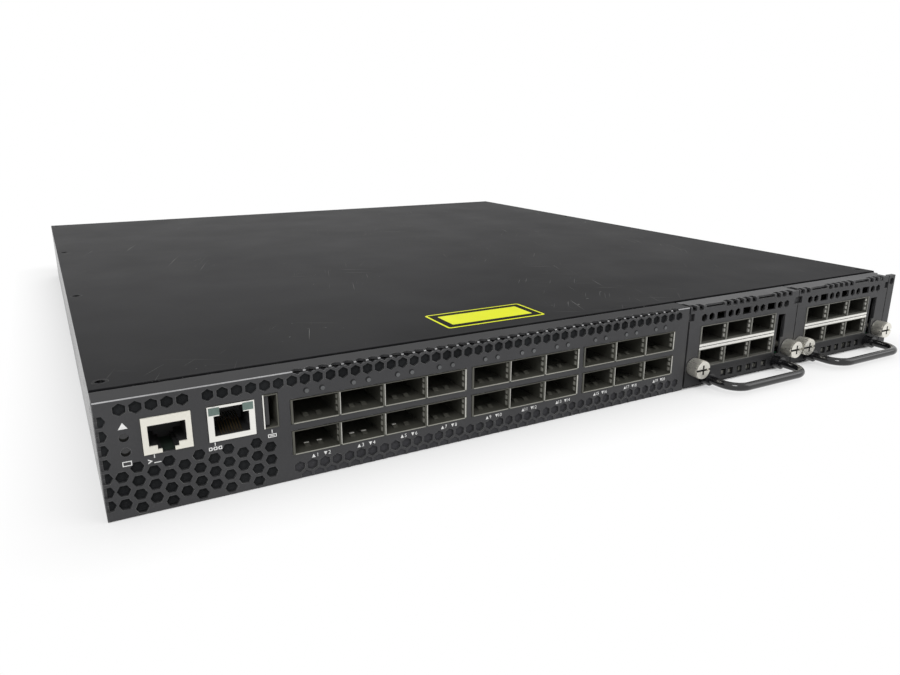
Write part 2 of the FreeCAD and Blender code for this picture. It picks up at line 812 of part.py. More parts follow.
def build_rear_panel():
    """Rear wall with its bay windows, a top flange and guide flaps folded inward."""
    y = rear - dim.sheet
    panel = Piece("rear_panel")
    windows = []
    flaps = []
    for number in range(FAN_COUNT):
        low = fan_middle(number) - dim.fan_window
        windows.append(rectangle(low, low + dim.fan_window * 2, dim.sheet, rear_window_top))
        flaps.append(rectangle(low - dim.sheet, low, dim.sheet, rear_window_top))
    for number in range(SUPPLY_COUNT):
        low = supply_edge(number) - dim.slide_gap
        high = low + dim.supply_width + dim.slide_gap * 2
        windows.append(rectangle(low, high, dim.sheet, rear_window_top))
        flaps.append(rectangle(low - dim.sheet, low, dim.sheet, rear_window_top))
    panel.pad("XZ", y, dim.sheet, rectangle(left, right, 0, lid_under))
    panel.pocket("XZ", y, dim.sheet, *windows)
    panel.pad("XZ", y - dim.guide_depth, dim.guide_depth, *flaps)
    inner = dim.chassis_width / 2 - dim.flange_width - dim.slide_gap
    top = rectangle(-inner, inner, rear_window_top, lid_under)
    panel.pad("XZ", y - dim.front_return, dim.front_return, top)
    holes = []
    for number in range(FAN_COUNT):
        hole_x = fan_middle(number) - dim.fan_screw_x
        holes.append((hole_x, dim.fan_screw_z, dim.fan_screw_shaft + dim.thumb_play))
    panel.pocket("XZ", y, dim.sheet, *holes)
    return node("rear_panel", panel.body)


def build_module_bracket():
    """Frame behind the module faces, with posts that take the thumbscrews."""
    x = left + slot_x
    strip = right - dim.bracket_strip
    y = front + dim.bracket_set_back
    depth = dim.front_return - dim.bracket_set_back
    frame = Piece("module_bracket")
    frame.pad("XZ", y, depth, rectangle(x, right, 0, bracket_top))
    hollow = rectangle(x + dim.sheet, right - dim.sheet, dim.sheet, bracket_top - dim.sheet)
    frame.pocket("XZ", y + dim.sheet, depth - dim.sheet, hollow)
    frame.pad("XZ", front, dim.bracket_set_back + dim.sheet, rectangle(strip, right, 0, dim.chassis_height))
    windows = []
    screws = []
    for number in range(len(MODULE_NAMES)):
        edge = module_edge + module_pitch * number
        tray_low = edge + dim.tray_left - dim.slide_gap
        tray_high = edge + dim.tray_right + dim.slide_gap
        low_z = dim.module_floor_z - dim.slide_gap
        windows.append(rectangle(tray_low, tray_high, low_z, module_top + dim.slide_gap))
        for inset in (dim.thumb_inset, dim.module_width - dim.thumb_inset):
            screws.append((edge + inset, dim.thumb_z, dim.thumb_shaft + dim.thumb_play))
    frame.pocket("XZ", y, dim.sheet, *windows, *screws)
    vent = hexagon(right - dim.bracket_strip / 2, dim.top_row_z, dim.hex_flats, True)
    frame.pocket("XZ", front, dim.bracket_set_back, vent)
    return node("module_bracket", frame.body)


def make_cage(label, x, columns):
    """Two rows of cage ports in one folded shell, its mouths reaching through the panel."""
    wide = dim.port_pitch * columns
    rim = dim.cage_rim
    behind = front + dim.sheet
    mouth = front - dim.cage_proud
    high = dim.port_low_z + dim.port_rise + dim.port_height + dim.cage_top_wall
    cage = Piece(label)
    cage.pad("XZ", behind, dim.cage_depth, rectangle(x - rim, x + wide + rim, board_top, high))
    mouths = []
    for level in range(2):
        low = dim.port_low_z + dim.port_rise * level
        mouths.append(rectangle(x - rim, x + wide + rim, low - rim, low + dim.port_height + rim))
    cage.pad("XZ", mouth, behind - mouth, *mouths)
    first = x + (dim.port_pitch - dim.port_width) / 2
    hole = rectangle(first, first + dim.port_width, dim.port_low_z, dim.port_low_z + dim.port_height)
    cage.pocket("XZ", mouth, behind - mouth + dim.cage_depth - dim.cage_back, hole)
    cage.repeat(dim.port_pitch, columns, dim.port_rise, 2)
    return node(label, cage.body)


def port_plugs(x, columns):
    """The contact blocks at the back of a cage's ports."""
    back = front + dim.sheet + dim.cage_depth - dim.cage_back
    first = x + (dim.port_pitch - dim.port_width) / 2 + dim.plug_inset
    width = dim.port_width - dim.plug_inset * 2
    return [
        block(first + dim.port_pitch * column, back - dim.plug_depth, dim.port_low_z + dim.port_rise * level,
              width, dim.plug_depth, dim.plug_height)
        for column in range(columns)
        for level in range(2)
    ]


def build_jack(label, x, width, hole_rise, latch_below):
    """A modular jack with a stepped opening for the plug's latch."""
    mouth = front - dim.jack_proud
    middle = x + width / 2
    low = dim.jack_z + hole_rise
    high = low + dim.jack_hole_height
    half = dim.jack_hole_width / 2
    outline = [(middle - half, low), (middle + half, low), (middle + half, high), (middle - half, high)]
    jack = Piece(label)
    jack.pad("XZ", mouth, dim.jack_depth, rectangle(x, x + width, dim.jack_z, dim.jack_z + dim.jack_height))
    if latch_below:
        wide = dim.latch_width / 2
        slim = dim.latch_slim / 2
        step = low - dim.latch_step
        tip = dim.jack_z
        outline[1:1] = [
            (middle - wide, low), (middle - wide, step), (middle - slim, step), (middle - slim, tip),
            (middle + slim, tip), (middle + slim, step), (middle + wide, step), (middle + wide, low),
        ]
    else:
        wide = dim.manager_latch / 2
        step = high + dim.manager_step
        outline[3:3] = [
            (middle + wide, high), (middle + wide, step), (middle - wide, step), (middle - wide, high),
        ]
    jack.pocket("XZ", mouth, dim.jack_hole_depth, outline)
    return node(label, jack.body)


def build_usb_socket():
    """An upright serial socket: a thin shell, a tongue inside and a foot on the riser board."""
    x = left + dim.usb_x
    wall = dim.usb_wall
    mouth = front - dim.cage_proud
    shell = Piece("usb_socket")
    low = dim.usb_z
    high = low + dim.usb_height
    shell.pad("XZ", mouth, dim.usb_depth, rectangle(x, x + dim.usb_width, low, high))
    inside = rectangle(x + wall, x + dim.usb_width - wall, low + wall, high - wall)
    shell.pocket("XZ", mouth, dim.usb_depth - wall * 2, inside)
    tongue = rectangle(x + wall, x + wall + dim.usb_tongue, low + wall * 2, high - wall * 2)
    shell.pad("XZ", mouth + wall * 2, dim.usb_depth - wall * 3, tongue)
    foot = rectangle(x, x + dim.usb_width, dim.jack_z, dim.usb_z)
    shell.pad("XZ", front + dim.sheet * 2, dim.usb_depth - dim.sheet * 3, foot)
    return node("usb_socket", shell.body)


def build_status_lamps():
    """Two light pipes set back in their holes and seated by a flange behind the panel."""
    lamps = []
    for level in range(2):
        x = left + dim.lamp_x
        z = dim.lamp_low_z + dim.lamp_rise * level
        pipe = rod(x, front + dim.lamp_recess, z, dim.lamp_radius, dim.sheet - dim.lamp_recess)
        seat = rod(x, front + dim.sheet, z, dim.lamp_flange, dim.sheet)
        lamps.append(fuse(pipe, seat))
    return node("status_lamps", group(*lamps))


def build_main_board():
    """Main circuit board with its riser board, switch chip and board connectors."""
    edge = dim.board_edge
    low_x = left + dim.sheet * 2 + edge
    high_x = right - dim.sheet * 2 - edge
    slot = left + slot_x - edge
    module_end = front + dim.module_depth + dim.board_play
    supply_end = rear + dim.supply_proud - dim.supply_length - dim.board_play * 2
    fan_end = rear - dim.fan_floor - dim.board_play * 2
    supply_side = supply_edge(0) - dim.board_play
    start = front + dim.sheet * 2
    outline = [
        (low_x, start), (slot, start), (slot, module_end), (high_x, module_end), (high_x, supply_end),
        (supply_side, supply_end), (supply_side, fan_end), (low_x, fan_end),
    ]
    board = Piece("Board")
    board.pad("XY", dim.board_z, dim.board_thick, outline)
    solids = [board.body]
    half_chip = dim.chip_side / 2
    solids.append(block(-half_chip, -half_chip, board_top, dim.chip_side, dim.chip_side, dim.chip_thick))
    riser_z = dim.jack_z - dim.riser_thick
    riser_wide = dim.riser_right - dim.riser_left
    riser_x = left + dim.riser_left
    solids.append(block(riser_x, start, riser_z, riser_wide, dim.riser_depth, dim.riser_thick))
    post = dim.standoff_radius
    for x in (riser_x + post, riser_x + riser_wide - post):
        for y in (start + post, start + dim.riser_depth - post):
            solids.append(rod(x, y, board_top, post, riser_z - board_top, UPRIGHT))
    for x, columns in port_groups:
        solids += port_plugs(x, columns)
    return node("main_board", group(*solids))


def build_heatsink():
    """Finned cooler on the switch chip."""
    half = dim.sink_width / 2
    base_z = board_top + dim.chip_thick
    top_z = base_z + dim.sink_height
    start = -(dim.sink_depth / 2)
    sink = Piece("chip_heatsink")
    sink.pad("XZ", start, dim.sink_depth, rectangle(-half, half, base_z, top_z))
    first = -half + (dim.fin_pitch - dim.fin_gap)
    gap = rectangle(first, first + dim.fin_gap, base_z + dim.sink_base, top_z)
    sink.pocket("XZ", start, dim.sink_depth, gap)
    sink.repeat(dim.fin_pitch, fitting(dim.sink_width - dim.fin_pitch, dim.fin_pitch))
    return node("chip_heatsink", sink.body)


def build_module_carrier(name):
    """Folded module face, top flange and tray."""
    x = module_edge
    wide = dim.module_width
    height = dim.chassis_height
    carrier = Piece(name)
    carrier.pad("XZ", front, dim.sheet, rectangle(x, x + wide, dim.module_bottom, height))
    flange = dim.front_return - dim.slide_gap
    carrier.pad("XZ", front + dim.sheet, flange - dim.sheet, rectangle(x, x + wide, lid_under, height))

    def top_fold(point):
        return abs(point.y - front.number) < NEAR and abs(point.z - height.number) < NEAR

    carrier.round_edges(dim.bend_radius, top_fold)
    tray_x = x + dim.tray_left
    tray_end = x + dim.tray_right
    floor_z = dim.module_floor_z
    floor_top = floor_z + dim.sheet
    carrier.pad("XZ", front + dim.sheet, dim.module_depth - dim.sheet,
                rectangle(tray_x, tray_end, floor_z, floor_top))
    walls = [
        rectangle(tray_x, tray_x + dim.sheet, floor_top, floor_top + dim.tray_wall),
        rectangle(tray_end - dim.sheet, tray_end, floor_top, floor_top + dim.tray_wall),
    ]
    start = front + dim.tray_wall_start
    carrier.pad("XZ", start, dim.module_depth - dim.tray_wall_start, *walls)
    post = dim.standoff_radius
    post_x = (tray_x + post * 3, tray_end - post * 3)
    post_y = (start + post * 2, front + dim.module_depth - post * 4)
    posts = [(px, py, post) for px in post_x for py in post_y]
    carrier.pad("XY", floor_top, board_top - dim.module_board_thick - floor_top, *posts)

    openings = cage_windows(x + dim.module_cage_x, MODULE_COLUMNS)
    for inset in (dim.thumb_inset, wide - dim.thumb_inset):
        openings.append((x + inset, dim.thumb_z, dim.thumb_shaft + dim.thumb_play))
    side_x = x + dim.side_slot_x
    step_x = side_x + dim.side_slot_step
    end_x = side_x + dim.side_slot_width
    openings.append([
        (side_x, dim.side_slot_low), (step_x, dim.side_slot_low), (step_x, dim.side_slot_mid),
        (end_x, dim.side_slot_mid), (end_x, dim.side_slot_high), (side_x, dim.side_slot_high),
    ])
    carrier.pocket("XZ", front, dim.sheet, *openings)

    vent = dim.module_vent_size
    groups = fitting(wide - dim.module_vent_first - dim.module_vent_step - vent, dim.module_vent_group)
    for offset in (0, dim.module_vent_step):
        vent_x = x + dim.module_vent_first + offset
        carrier.pocket("XZ", front, dim.sheet, hexagon(vent_x, dim.module_vent_z, vent, True))
        carrier.repeat(dim.module_vent_group, groups)
    half_wide = dim.module_wide_size / 2
    wide_x = x + dim.module_vent_first + dim.module_vent_wide
    low_z = dim.module_vent_z - vent / 2
    carrier.pocket("XZ", front, dim.sheet,
                   rectangle(wide_x - half_wide, wide_x + half_wide, low_z, low_z + vent))
    carrier.repeat(dim.module_vent_group, groups - 1)
    half_low = vent / 2
    low_first = x + dim.low_vent_first
    lows = [
        rectangle(low_first + step - half_low, low_first + step + half_low,
                  dim.low_vent_z - half_low, dim.low_vent_z + half_low)
        for step in (0, dim.module_vent_step, dim.module_vent_wide)
    ]
    carrier.pocket("XZ", front, dim.sheet, *lows).repeat(dim.low_vent_group, 2)

    slots_front = []
    slots_top = []
    half_slot = dim.fold_slot_width / 2
    bridge = dim.fold_slot_pitch - dim.fold_slot_width
    group_end = None
    for middle, count in ((dim.fold_slots_left, 2), (dim.fold_slots_middle, 5), (dim.fold_slots_right, 3)):
        first = x + middle - dim.fold_slot_pitch * (count - 1) / 2
        if group_end is not None:
            recess = (group_end + bridge, first - half_slot - bridge)
            slots_front.append(rectangle(*recess, height - dim.fold_recess_drop, height))
            slots_top.append(rectangle(*recess, front, front + dim.fold_recess_run))
        for step in range(count):
            low = first + dim.fold_slot_pitch * step - half_slot
            group_end = low + dim.fold_slot_width
            slots_front.append(rectangle(low, group_end, height - dim.fold_slot_drop, height))
            slots_top.append(rectangle(low, group_end, front, front + dim.fold_slot_run))
    notch_low = dim.edge_notch_z - half_low
    notch_high = dim.edge_notch_z + half_low
    for notch_x in (x, x + wide - dim.edge_notch):
        slots_front.append(rectangle(notch_x, notch_x + dim.edge_notch, notch_low, notch_high))
    carrier.pocket("XZ", front, dim.sheet, *slots_front)
    carrier.pocket("XY", lid_under, dim.sheet, *slots_top)
    notch = dim.corner_notch
    corners = [
        rectangle(x, x + notch / 2, front + dim.sheet, front + notch * 2),
        rectangle(x + wide - notch / 2, x + wide, front + dim.sheet, front + notch * 2),
    ]
    carrier.pocket("XY", lid_under, dim.sheet, *corners)
    return node(f"{name}_carrier", carrier.body)


def build_module_board(name):
    """Module circuit board with its port contact blocks."""
    low = module_edge + dim.tray_left + dim.sheet + dim.slide_gap
    high = module_edge + dim.tray_right - dim.sheet - dim.slide_gap
    start = front + dim.sheet * 2
    board = block(low, start, board_top - dim.module_board_thick, high - low,
                  dim.module_depth - dim.board_edge, dim.module_board_thick)
    plugs = port_plugs(module_edge + dim.module_cage_x, MODULE_COLUMNS)
    return node(f"{name}_board", group(board, *plugs))


def bent_handle(half, reach, rod_radius, bend_radius):
    """A U of round rod in the XY plane: legs along +Y from Y zero, bar at the reach."""
    run = reach - bend_radius
    span = (half - bend_radius) * 2
    inside = half - bend_radius
    return fuse(
        rod(-half, 0, 0, rod_radius, run),
        rod(half, 0, 0, rod_radius, run),
        rod(-inside, reach, 0, rod_radius, span, ALONG_X),
        bend(-inside, run, bend_radius, rod_radius, 90),
        bend(inside, run, bend_radius, rod_radius, 0),
    )


def build_module_handle(name):
    """Pull handle with a ferrule at each foot."""
    middle = module_edge + dim.module_width / 2
    pull = bent_handle(dim.pull_half, dim.pull_reach, dim.pull_rod, dim.pull_bend)
    feet = (-dim.pull_half, dim.pull_half)
    ferrules = [rod(foot, 0, 0, dim.ferrule_radius, dim.ferrule_length) for foot in feet]
    whole = fuse(pull, *ferrules)
    turned = FreeCAD.Rotation(FreeCAD.Vector(0, 0, 1), 180)
    return node(f"{name}_handle", put(whole, middle, front, dim.pull_z, turned))


def captive_screw(radius, length, shaft, reach):
    """A captive screw along Y: its head in front of the plane Y zero, its shank behind it."""
    gap = dim.thumb_gap
    half = dim.thumb_slot / 2
    end = -(length + gap)
    arm = radius * CROSS_PART
    head = rod(0, end, 0, radius, length)
    neck = rod(0, -gap, 0, shaft, gap + reach)
    tip = taper(0, reach, 0, shaft, shaft - half, dim.thumb_slot)
    slot = block(-radius, end, -half, radius * 2, dim.thumb_slot, dim.thumb_slot)
    cross = block(-half, end, -arm, dim.thumb_slot, dim.thumb_slot * 2, arm * 2)
    return cut(fuse(head, neck, tip), slot, cross)


def build_thumbscrew(label):
    """Knurled captive thumbscrew of a module."""
    screw = captive_screw(dim.thumb_radius, dim.thumb_length, dim.thumb_shaft, dim.thumb_reach)
    return node(label, put(screw, module_edge + dim.thumb_inset, front, dim.thumb_z))


def build_fan_frame(label):
    """Folded fan carrier with a perforated face, a floor and two short lips."""
    x = fan_middle(0)
    face = rear + dim.panel_gap * 2
    sheet = dim.fan_sheet
    low = bay_low
    high = low + bay_height
    half = dim.fan_left
    frame = Piece(label)
    frame.pad("XZ", face, sheet, rectangle(x - dim.fan_right, x + half, low, high))
    floor = rectangle(x - half, x + half, low, low + sheet)
    frame.pad("XZ", rear - dim.fan_floor, dim.fan_floor + face - rear, floor)
    side = rectangle(x + half - sheet, x + half, low, high)
    frame.pad("XZ", face - dim.fan_side_lip, dim.fan_side_lip, side)
    lip = rectangle(x - half, x + half, high - sheet, high)
    frame.pad("XZ", face - dim.fan_top_lip, dim.fan_top_lip, lip)
    flats = dim.grille_flats
    rows = fitting(high - sheet - flats - dim.grille_low, dim.grille_rise * 2)
    for step in range(2):
        first = x - dim.grille_half + dim.grille_pitch / 2 * step
        z = dim.grille_low + dim.grille_rise * step
        across = fitting(x + dim.grille_half - first, dim.grille_pitch)
        frame.pocket("XZ", face, sheet, hexagon(first, z, flats, True))
        frame.repeat(dim.grille_pitch, across, dim.grille_rise * 2, rows)
    screw = (x - dim.fan_screw_x, dim.fan_screw_z, dim.fan_screw_shaft + dim.thumb_play)
    lamp = (x - dim.fan_lamp_x, dim.fan_lamp_z, dim.fan_lamp_radius)
    frame.pocket("XZ", face, sheet, screw, lamp)
    return node(label, frame.body)


def fan_inner_end():
    """The Y place of a fan housing's inner end."""
    return rear - dim.fan_set_back - dim.fan_thick


def build_fan_housing(label):
    """Square fan body with a round duct, a motor seat on three struts and an axle."""
    x = fan_middle(0)
    half = fan_side / 2
    y = fan_inner_end()
    z = bay_low + dim.fan_sheet + half
    body = block(x - half, y, z - half, fan_side, dim.fan_thick, fan_side)
    shell = cut(body, rod(x, y, z, dim.fan_bore, dim.fan_thick))
    seat = rod(x, y, z, dim.hub_radius, dim.motor_thick)
    axle = rod(x, y, z, dim.axle_radius, dim.motor_thick + dim.axle_length)
    struts = []
    thin = dim.strut_width / 2
    for turn in range(STRUT_COUNT):
        strut = doc.addObject("Part::Box", "Strut")
        bind(strut, Length=dim.strut_width, Width=dim.motor_thick, Height=dim.fan_bore + dim.panel_gap)
        spin = FreeCAD.Rotation(FreeCAD.Vector(0, 1, 0), 360 * turn / STRUT_COUNT)
        across = spin.multVec(FreeCAD.Vector(-1, 0, 0))
        struts.append(put(strut, x + thin * across.x, y, z + thin * across.z, spin))
    return node(label, fuse(shell, seat, axle, *struts))


def build_fan_rotor(label):
    """Hub with pitched blades, turning on the housing's axle."""
    x = fan_middle(0)
    z = bay_low + dim.fan_sheet + fan_side / 2
    start = dim.motor_thick + dim.hub_gap
    blades = []
    for number in range(BLADE_COUNT):
        blade = doc.addObject("Part::Box", "Blade")
        bind(blade, Length=dim.blade_thick, Width=dim.blade_chord, Height=dim.blade_tip + dim.blade_thick)
        pitch = FreeCAD.Rotation(FreeCAD.Vector(0, 0, 1), dim.blade_pitch_angle.number)
        spin = FreeCAD.Rotation(FreeCAD.Vector(0, 1, 0), 360 * number / BLADE_COUNT)
        turn = spin.multiply(pitch)
        corner = turn.multVec(FreeCAD.Vector(-0.5, 0, 0))
        run = turn.multVec(FreeCAD.Vector(0, -0.5, 0))
        middle = start + dim.hub_length / 2
        blades.append(put(
            blade,
            dim.blade_thick * corner.x + dim.blade_chord * run.x,
            middle + dim.blade_thick * corner.y + dim.blade_chord * run.y,
            dim.blade_thick * corner.z + dim.blade_chord * run.z,
            turn,
        ))
    tips = rod(0, start, 0, dim.blade_tip, dim.hub_length)
    fan = fuse(rod(0, start, 0, dim.hub_radius, dim.hub_length), common(fuse(*blades), tips))
    bore = rod(0, start, 0, dim.axle_radius + dim.axle_play, dim.axle_length)
    return node(label, put(cut(fan, bore), x, fan_inner_end(), z))


def build_fan_handle(label):
    """Coated pull handle on the fan face."""
    pull = bent_handle(dim.fan_pull_half, dim.fan_pull_reach, dim.fan_pull_rod, dim.fan_pull_bend)
    face = rear + dim.panel_gap * 2 + dim.fan_sheet
    return node(label, put(pull, fan_middle(0), face, dim.fan_pull_z))


def build_fan_screw(label):
    """Captive screw in the fan face's tab."""
    screw = captive_screw(dim.fan_screw_head, dim.fan_screw_length, dim.fan_screw_shaft, dim.fan_screw_reach)
    face = rear + dim.panel_gap * 2 + dim.fan_sheet
    turned = FreeCAD.Rotation(FreeCAD.Vector(0, 0, 1), 180)
    return node(label, put(screw, fan_middle(0) - dim.fan_screw_x, face, dim.fan_screw_z, turned))


def supply_face():
    """The Y place of a power supply's outer face."""
    return rear + dim.supply_proud


def build_supply_case(label):
    """Folded supply case with a square-mesh face, an inlet window and a release slot."""
    right_side = supply_edge(0) + dim.supply_width
    low = bay_low
    wall = dim.supply_wall
    face = supply_face()
    case = Piece(label)
    outer = rectangle(supply_edge(0), right_side, low, low + bay_height)
    case.pad("XZ", face - dim.supply_length, dim.supply_length, outer)
    inner = rectangle(supply_edge(0) + wall, right_side - wall, low + wall, low + bay_height - wall)
    case.pocket("XZ", face - dim.supply_cavity, dim.supply_cavity, inner)
    case.pad("XZ", face - wall, wall, inner)
    mesh_x = right_side - dim.mesh_left - dim.mesh_hole_x - dim.mesh_pitch_x * (MESH_COLUMNS - 1)
    mesh_z = low + dim.mesh_low
    hole = rectangle(mesh_x, mesh_x + dim.mesh_hole_x, mesh_z, mesh_z + dim.mesh_hole_z)
    case.pocket("XZ", face - wall, wall, hole)
    case.repeat(dim.mesh_pitch_x, MESH_COLUMNS, dim.mesh_pitch_z, MESH_ROWS)
    gap = dim.panel_gap
    inlet_x = right_side - dim.inlet_x - dim.inlet_width
    window = rectangle(inlet_x - gap, inlet_x + dim.inlet_width + gap,
                       low + dim.inlet_z - gap, low + dim.inlet_z + dim.inlet_height + gap)
    play = dim.release_play
    release_x = right_side - dim.release_x - dim.release_width
    slot = rectangle(release_x - play, release_x + dim.release_width + dim.release_travel + play,
                     low + dim.release_z - play, low + dim.release_z + dim.release_height + play)
    case.pocket("XZ", face - wall, wall, window, slot)
    return node(label, case.body)


def build_supply_inlet(label):
    """Upright three-pin mains inlet."""
    x = supply_edge(0) + dim.supply_width - dim.inlet_x - dim.inlet_width
    z = bay_low + dim.inlet_z
    face = supply_face() + dim.inlet_proud
    inlet = Piece(label)
    inlet.pad("XZ", face - dim.inlet_depth, dim.inlet_depth,
              rectangle(x, x + dim.inlet_width, z, z + dim.inlet_height))
    middle_x = x + dim.inlet_width / 2
    middle_z = z + dim.inlet_height / 2
    half_x = dim.inlet_hole_x / 2
    half_z = dim.inlet_hole_z / 2
    cut_off = dim.inlet_corner
    outline = [
        (middle_x - half_x, middle_z - half_z), (middle_x + half_x - cut_off, middle_z - half_z),
        (middle_x + half_x, middle_z - half_z + cut_off), (middle_x + half_x, middle_z + half_z - cut_off),
        (middle_x + half_x - cut_off, middle_z + half_z), (middle_x - half_x, middle_z + half_z),
    ]
    inlet.pocket("XZ", face - dim.inlet_hole_depth, dim.inlet_hole_depth, outline)
    pins = []
    for step, shift in ((-1, -1), (0, 1), (1, -1)):
        pin_x = middle_x + dim.pin_long / 2 * shift
        pin_z = middle_z + dim.pin_spacing * step
        pins.append(rectangle(pin_x - dim.pin_long / 2, pin_x + dim.pin_long / 2,
                              pin_z - dim.pin_thick / 2, pin_z + dim.pin_thick / 2))
    inlet.pad("XZ", face - dim.inlet_hole_depth, dim.inlet_hole_depth - dim.pin_long, *pins)
    seat = rectangle(x - dim.supply_wall, x, z, z + dim.inlet_height)
    inlet.pad("XZ", face - dim.inlet_depth, dim.inlet_depth - dim.inlet_proud - dim.supply_wall, seat)
    return node(label, inlet.body)


def build_supply_handle(label):
    """Upright pull handle of a power supply."""
    pull = bent_handle(dim.supply_pull_half, dim.supply_pull_reach, dim.supply_pull_rod, dim.supply_pull_bend)
    upright = FreeCAD.Rotation(FreeCAD.Vector(0, 1, 0), -90)
    x = supply_edge(0) + dim.supply_width - dim.supply_pull_x
    return node(label, put(pull, x, supply_face(), bay_low + dim.supply_pull_z, upright))


def build_supply_latch(label):
    """Sprung release tab that slides sideways in its slot."""
    x = supply_edge(0) + dim.supply_width - dim.release_x - dim.release_width
    z = bay_low + dim.release_z
    face = supply_face()
    tab = Piece(label)
    tab.pad("XZ", face - dim.release_root, dim.release_root + dim.release_reach,
            rectangle(x, x + dim.release_width, z, z + dim.release_height))
    return node(label, tab.body)


def build_chassis():
    """The case, its boards and the fixed ports."""
    build_base_tray()
    build_front_panel()
    build_top_cover()
    build_cover_screws()
    build_rear_panel()
    build_module_bracket()
    build_main_board()
    build_heatsink()
    for side, (x, columns) in zip(("left", "middle", "right"), port_groups):
        make_cage(f"port_cage_{side}", x, columns)
    build_jack("console_jack", left + dim.console_x, dim.console_width, dim.jack_hole_rise, True)
    build_jack("management_jack", left + dim.manager_x, dim.manager_width, dim.manager_hole_rise, False)
    build_usb_socket()
    build_status_lamps()


def build_modules():
    """The two plug-in port modules, the second a copy of the first."""
    name, other = MODULE_NAMES
    first = [build_module_carrier(name)]
    first.append(make_cage(f"{name}_cage", module_edge + dim.module_cage_x, MODULE_COLUMNS))
    first.append(build_module_board(name))
    first.append(build_module_handle(name))
    screw = build_thumbscrew(f"{name}_screw_a")
    first.append(screw)
    first.append(copy(f"{name}_screw_b", screw, dim.module_width - dim.thumb_inset * 2))
    for piece in first:
        copy(piece.Label.replace(name, other), piece, module_pitch)


def build_fans():
    """The fan modules, each a copy of the first at the bay pitch."""
    makers = {
        "frame": build_fan_frame,
        "housing": build_fan_housing,
        "rotor": build_fan_rotor,
        "handle": build_fan_handle,
        "screw": build_fan_screw,
    }
    for kind, make in makers.items():
        first = make(f"fan_1_{kind}")
        for number in range(1, FAN_COUNT):
            copy(f"fan_{number + 1}_{kind}", first, fan_pitch * number)


def build_supplies():
    """The power supplies, the second a copy of the first."""
    makers = {
        "case": build_supply_case,
        "inlet": build_supply_inlet,
        "handle": build_supply_handle,
        "latch": build_supply_latch,
    }
    for kind, make in makers.items():
        first = make(f"supply_1_{kind}")
        for number in range(1, SUPPLY_COUNT):
            copy(f"supply_{number + 1}_{kind}", first, dim.supply_pitch * number)


def check_and_write():
    """Stops on any failed object, then writes one file a sub-part."""
    doc.recompute()
    for thing in doc.Objects:
        failed = [word for word in thing.State if word in ("Invalid", "Error")]
        if failed:
            raise RuntimeError(f"{thing.Label} ({thing.Name}) is {failed}")
    for piece in nodes:
        if piece.Shape.isNull() or not piece.Shape.isValid():
            raise RuntimeError(f"{piece.Label} has no valid shape")
    os.makedirs("parts", exist_ok=True)
    for piece in nodes:
        piece.Shape.exportStep(f"parts/{piece.Label}.step")
        print(piece.Label, len(piece.Shape.Solids), round(piece.Shape.Volume, 1))


build_chassis()
build_modules()
build_fans()
build_supplies()
check_and_write()
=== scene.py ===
"""Looks of a one-unit ethernet switch: finishes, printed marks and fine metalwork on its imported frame."""
import json
import logging
import math
from dataclasses import dataclass, field
from enum import Enum
from typing import Any, Callable, Sequence

import bmesh
import bpy
from mathutils import Matrix, Vector


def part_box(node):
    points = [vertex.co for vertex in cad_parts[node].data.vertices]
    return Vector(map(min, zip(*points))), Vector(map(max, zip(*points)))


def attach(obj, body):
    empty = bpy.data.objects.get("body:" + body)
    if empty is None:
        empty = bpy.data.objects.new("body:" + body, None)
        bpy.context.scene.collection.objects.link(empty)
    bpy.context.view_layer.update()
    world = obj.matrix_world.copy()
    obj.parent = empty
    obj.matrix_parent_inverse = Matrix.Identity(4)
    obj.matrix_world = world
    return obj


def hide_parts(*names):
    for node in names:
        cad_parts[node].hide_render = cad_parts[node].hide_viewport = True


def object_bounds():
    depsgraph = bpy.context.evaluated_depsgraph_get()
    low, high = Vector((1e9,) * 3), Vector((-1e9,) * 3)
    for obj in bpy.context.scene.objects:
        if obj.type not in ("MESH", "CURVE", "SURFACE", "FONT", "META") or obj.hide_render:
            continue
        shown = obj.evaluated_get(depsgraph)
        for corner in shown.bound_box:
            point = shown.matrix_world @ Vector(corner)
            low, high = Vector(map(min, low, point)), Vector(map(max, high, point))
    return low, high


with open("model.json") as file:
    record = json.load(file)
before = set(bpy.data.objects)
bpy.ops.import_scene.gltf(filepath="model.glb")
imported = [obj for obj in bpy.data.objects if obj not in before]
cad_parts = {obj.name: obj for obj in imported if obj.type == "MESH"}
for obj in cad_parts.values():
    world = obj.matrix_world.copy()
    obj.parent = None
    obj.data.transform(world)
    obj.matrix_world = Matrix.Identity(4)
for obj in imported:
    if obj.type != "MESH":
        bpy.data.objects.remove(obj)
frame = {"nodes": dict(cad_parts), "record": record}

LOG = logging.getLogger("ethernet_switch")
CAD_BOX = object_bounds()
MM = 0.001
IMAGE_WIDTH = 900
SENSOR_WIDTH = 36.0
# How much of a font's size its digits take up.
CAP_SHARE = 0.69
# Thickness of print and film, in millimetres.
HAIR = 0.04
# How far the box of a zone reaches past its node where it has no limit, in millimetres.
MARGIN = 1.0
BEVEL_ANGLE = math.radians(40)
SMOOTH_ANGLE = math.radians(38)
CORNER_STEPS = 5
# The range that smooth noise mostly keeps to.
NOISE_SPAN = (0.3, 0.7)
WORN_ROUGHNESS = 0.38
SCUFF_ROUGHNESS = 0.6
DUST_ROUGHNESS = 0.9
BLACK = (0.0, 0.0, 0.0, 1.0)
WHITE = (1.0, 1.0, 1.0, 1.0)

Rgb = tuple[float, float, float]
Point = tuple[float, float]
Socket = bpy.types.NodeSocket


class Effect(Enum):
    """The shared surface effects, each one shader node group."""

    GRAIN = "grain"
    EDGE_WEAR = "edge_wear"
    SCUFFS = "scuffs"
    DUST = "dust"
    SPANGLE = "spangle"
    BRUSHING = "brushing"
    ZONE = "zone"


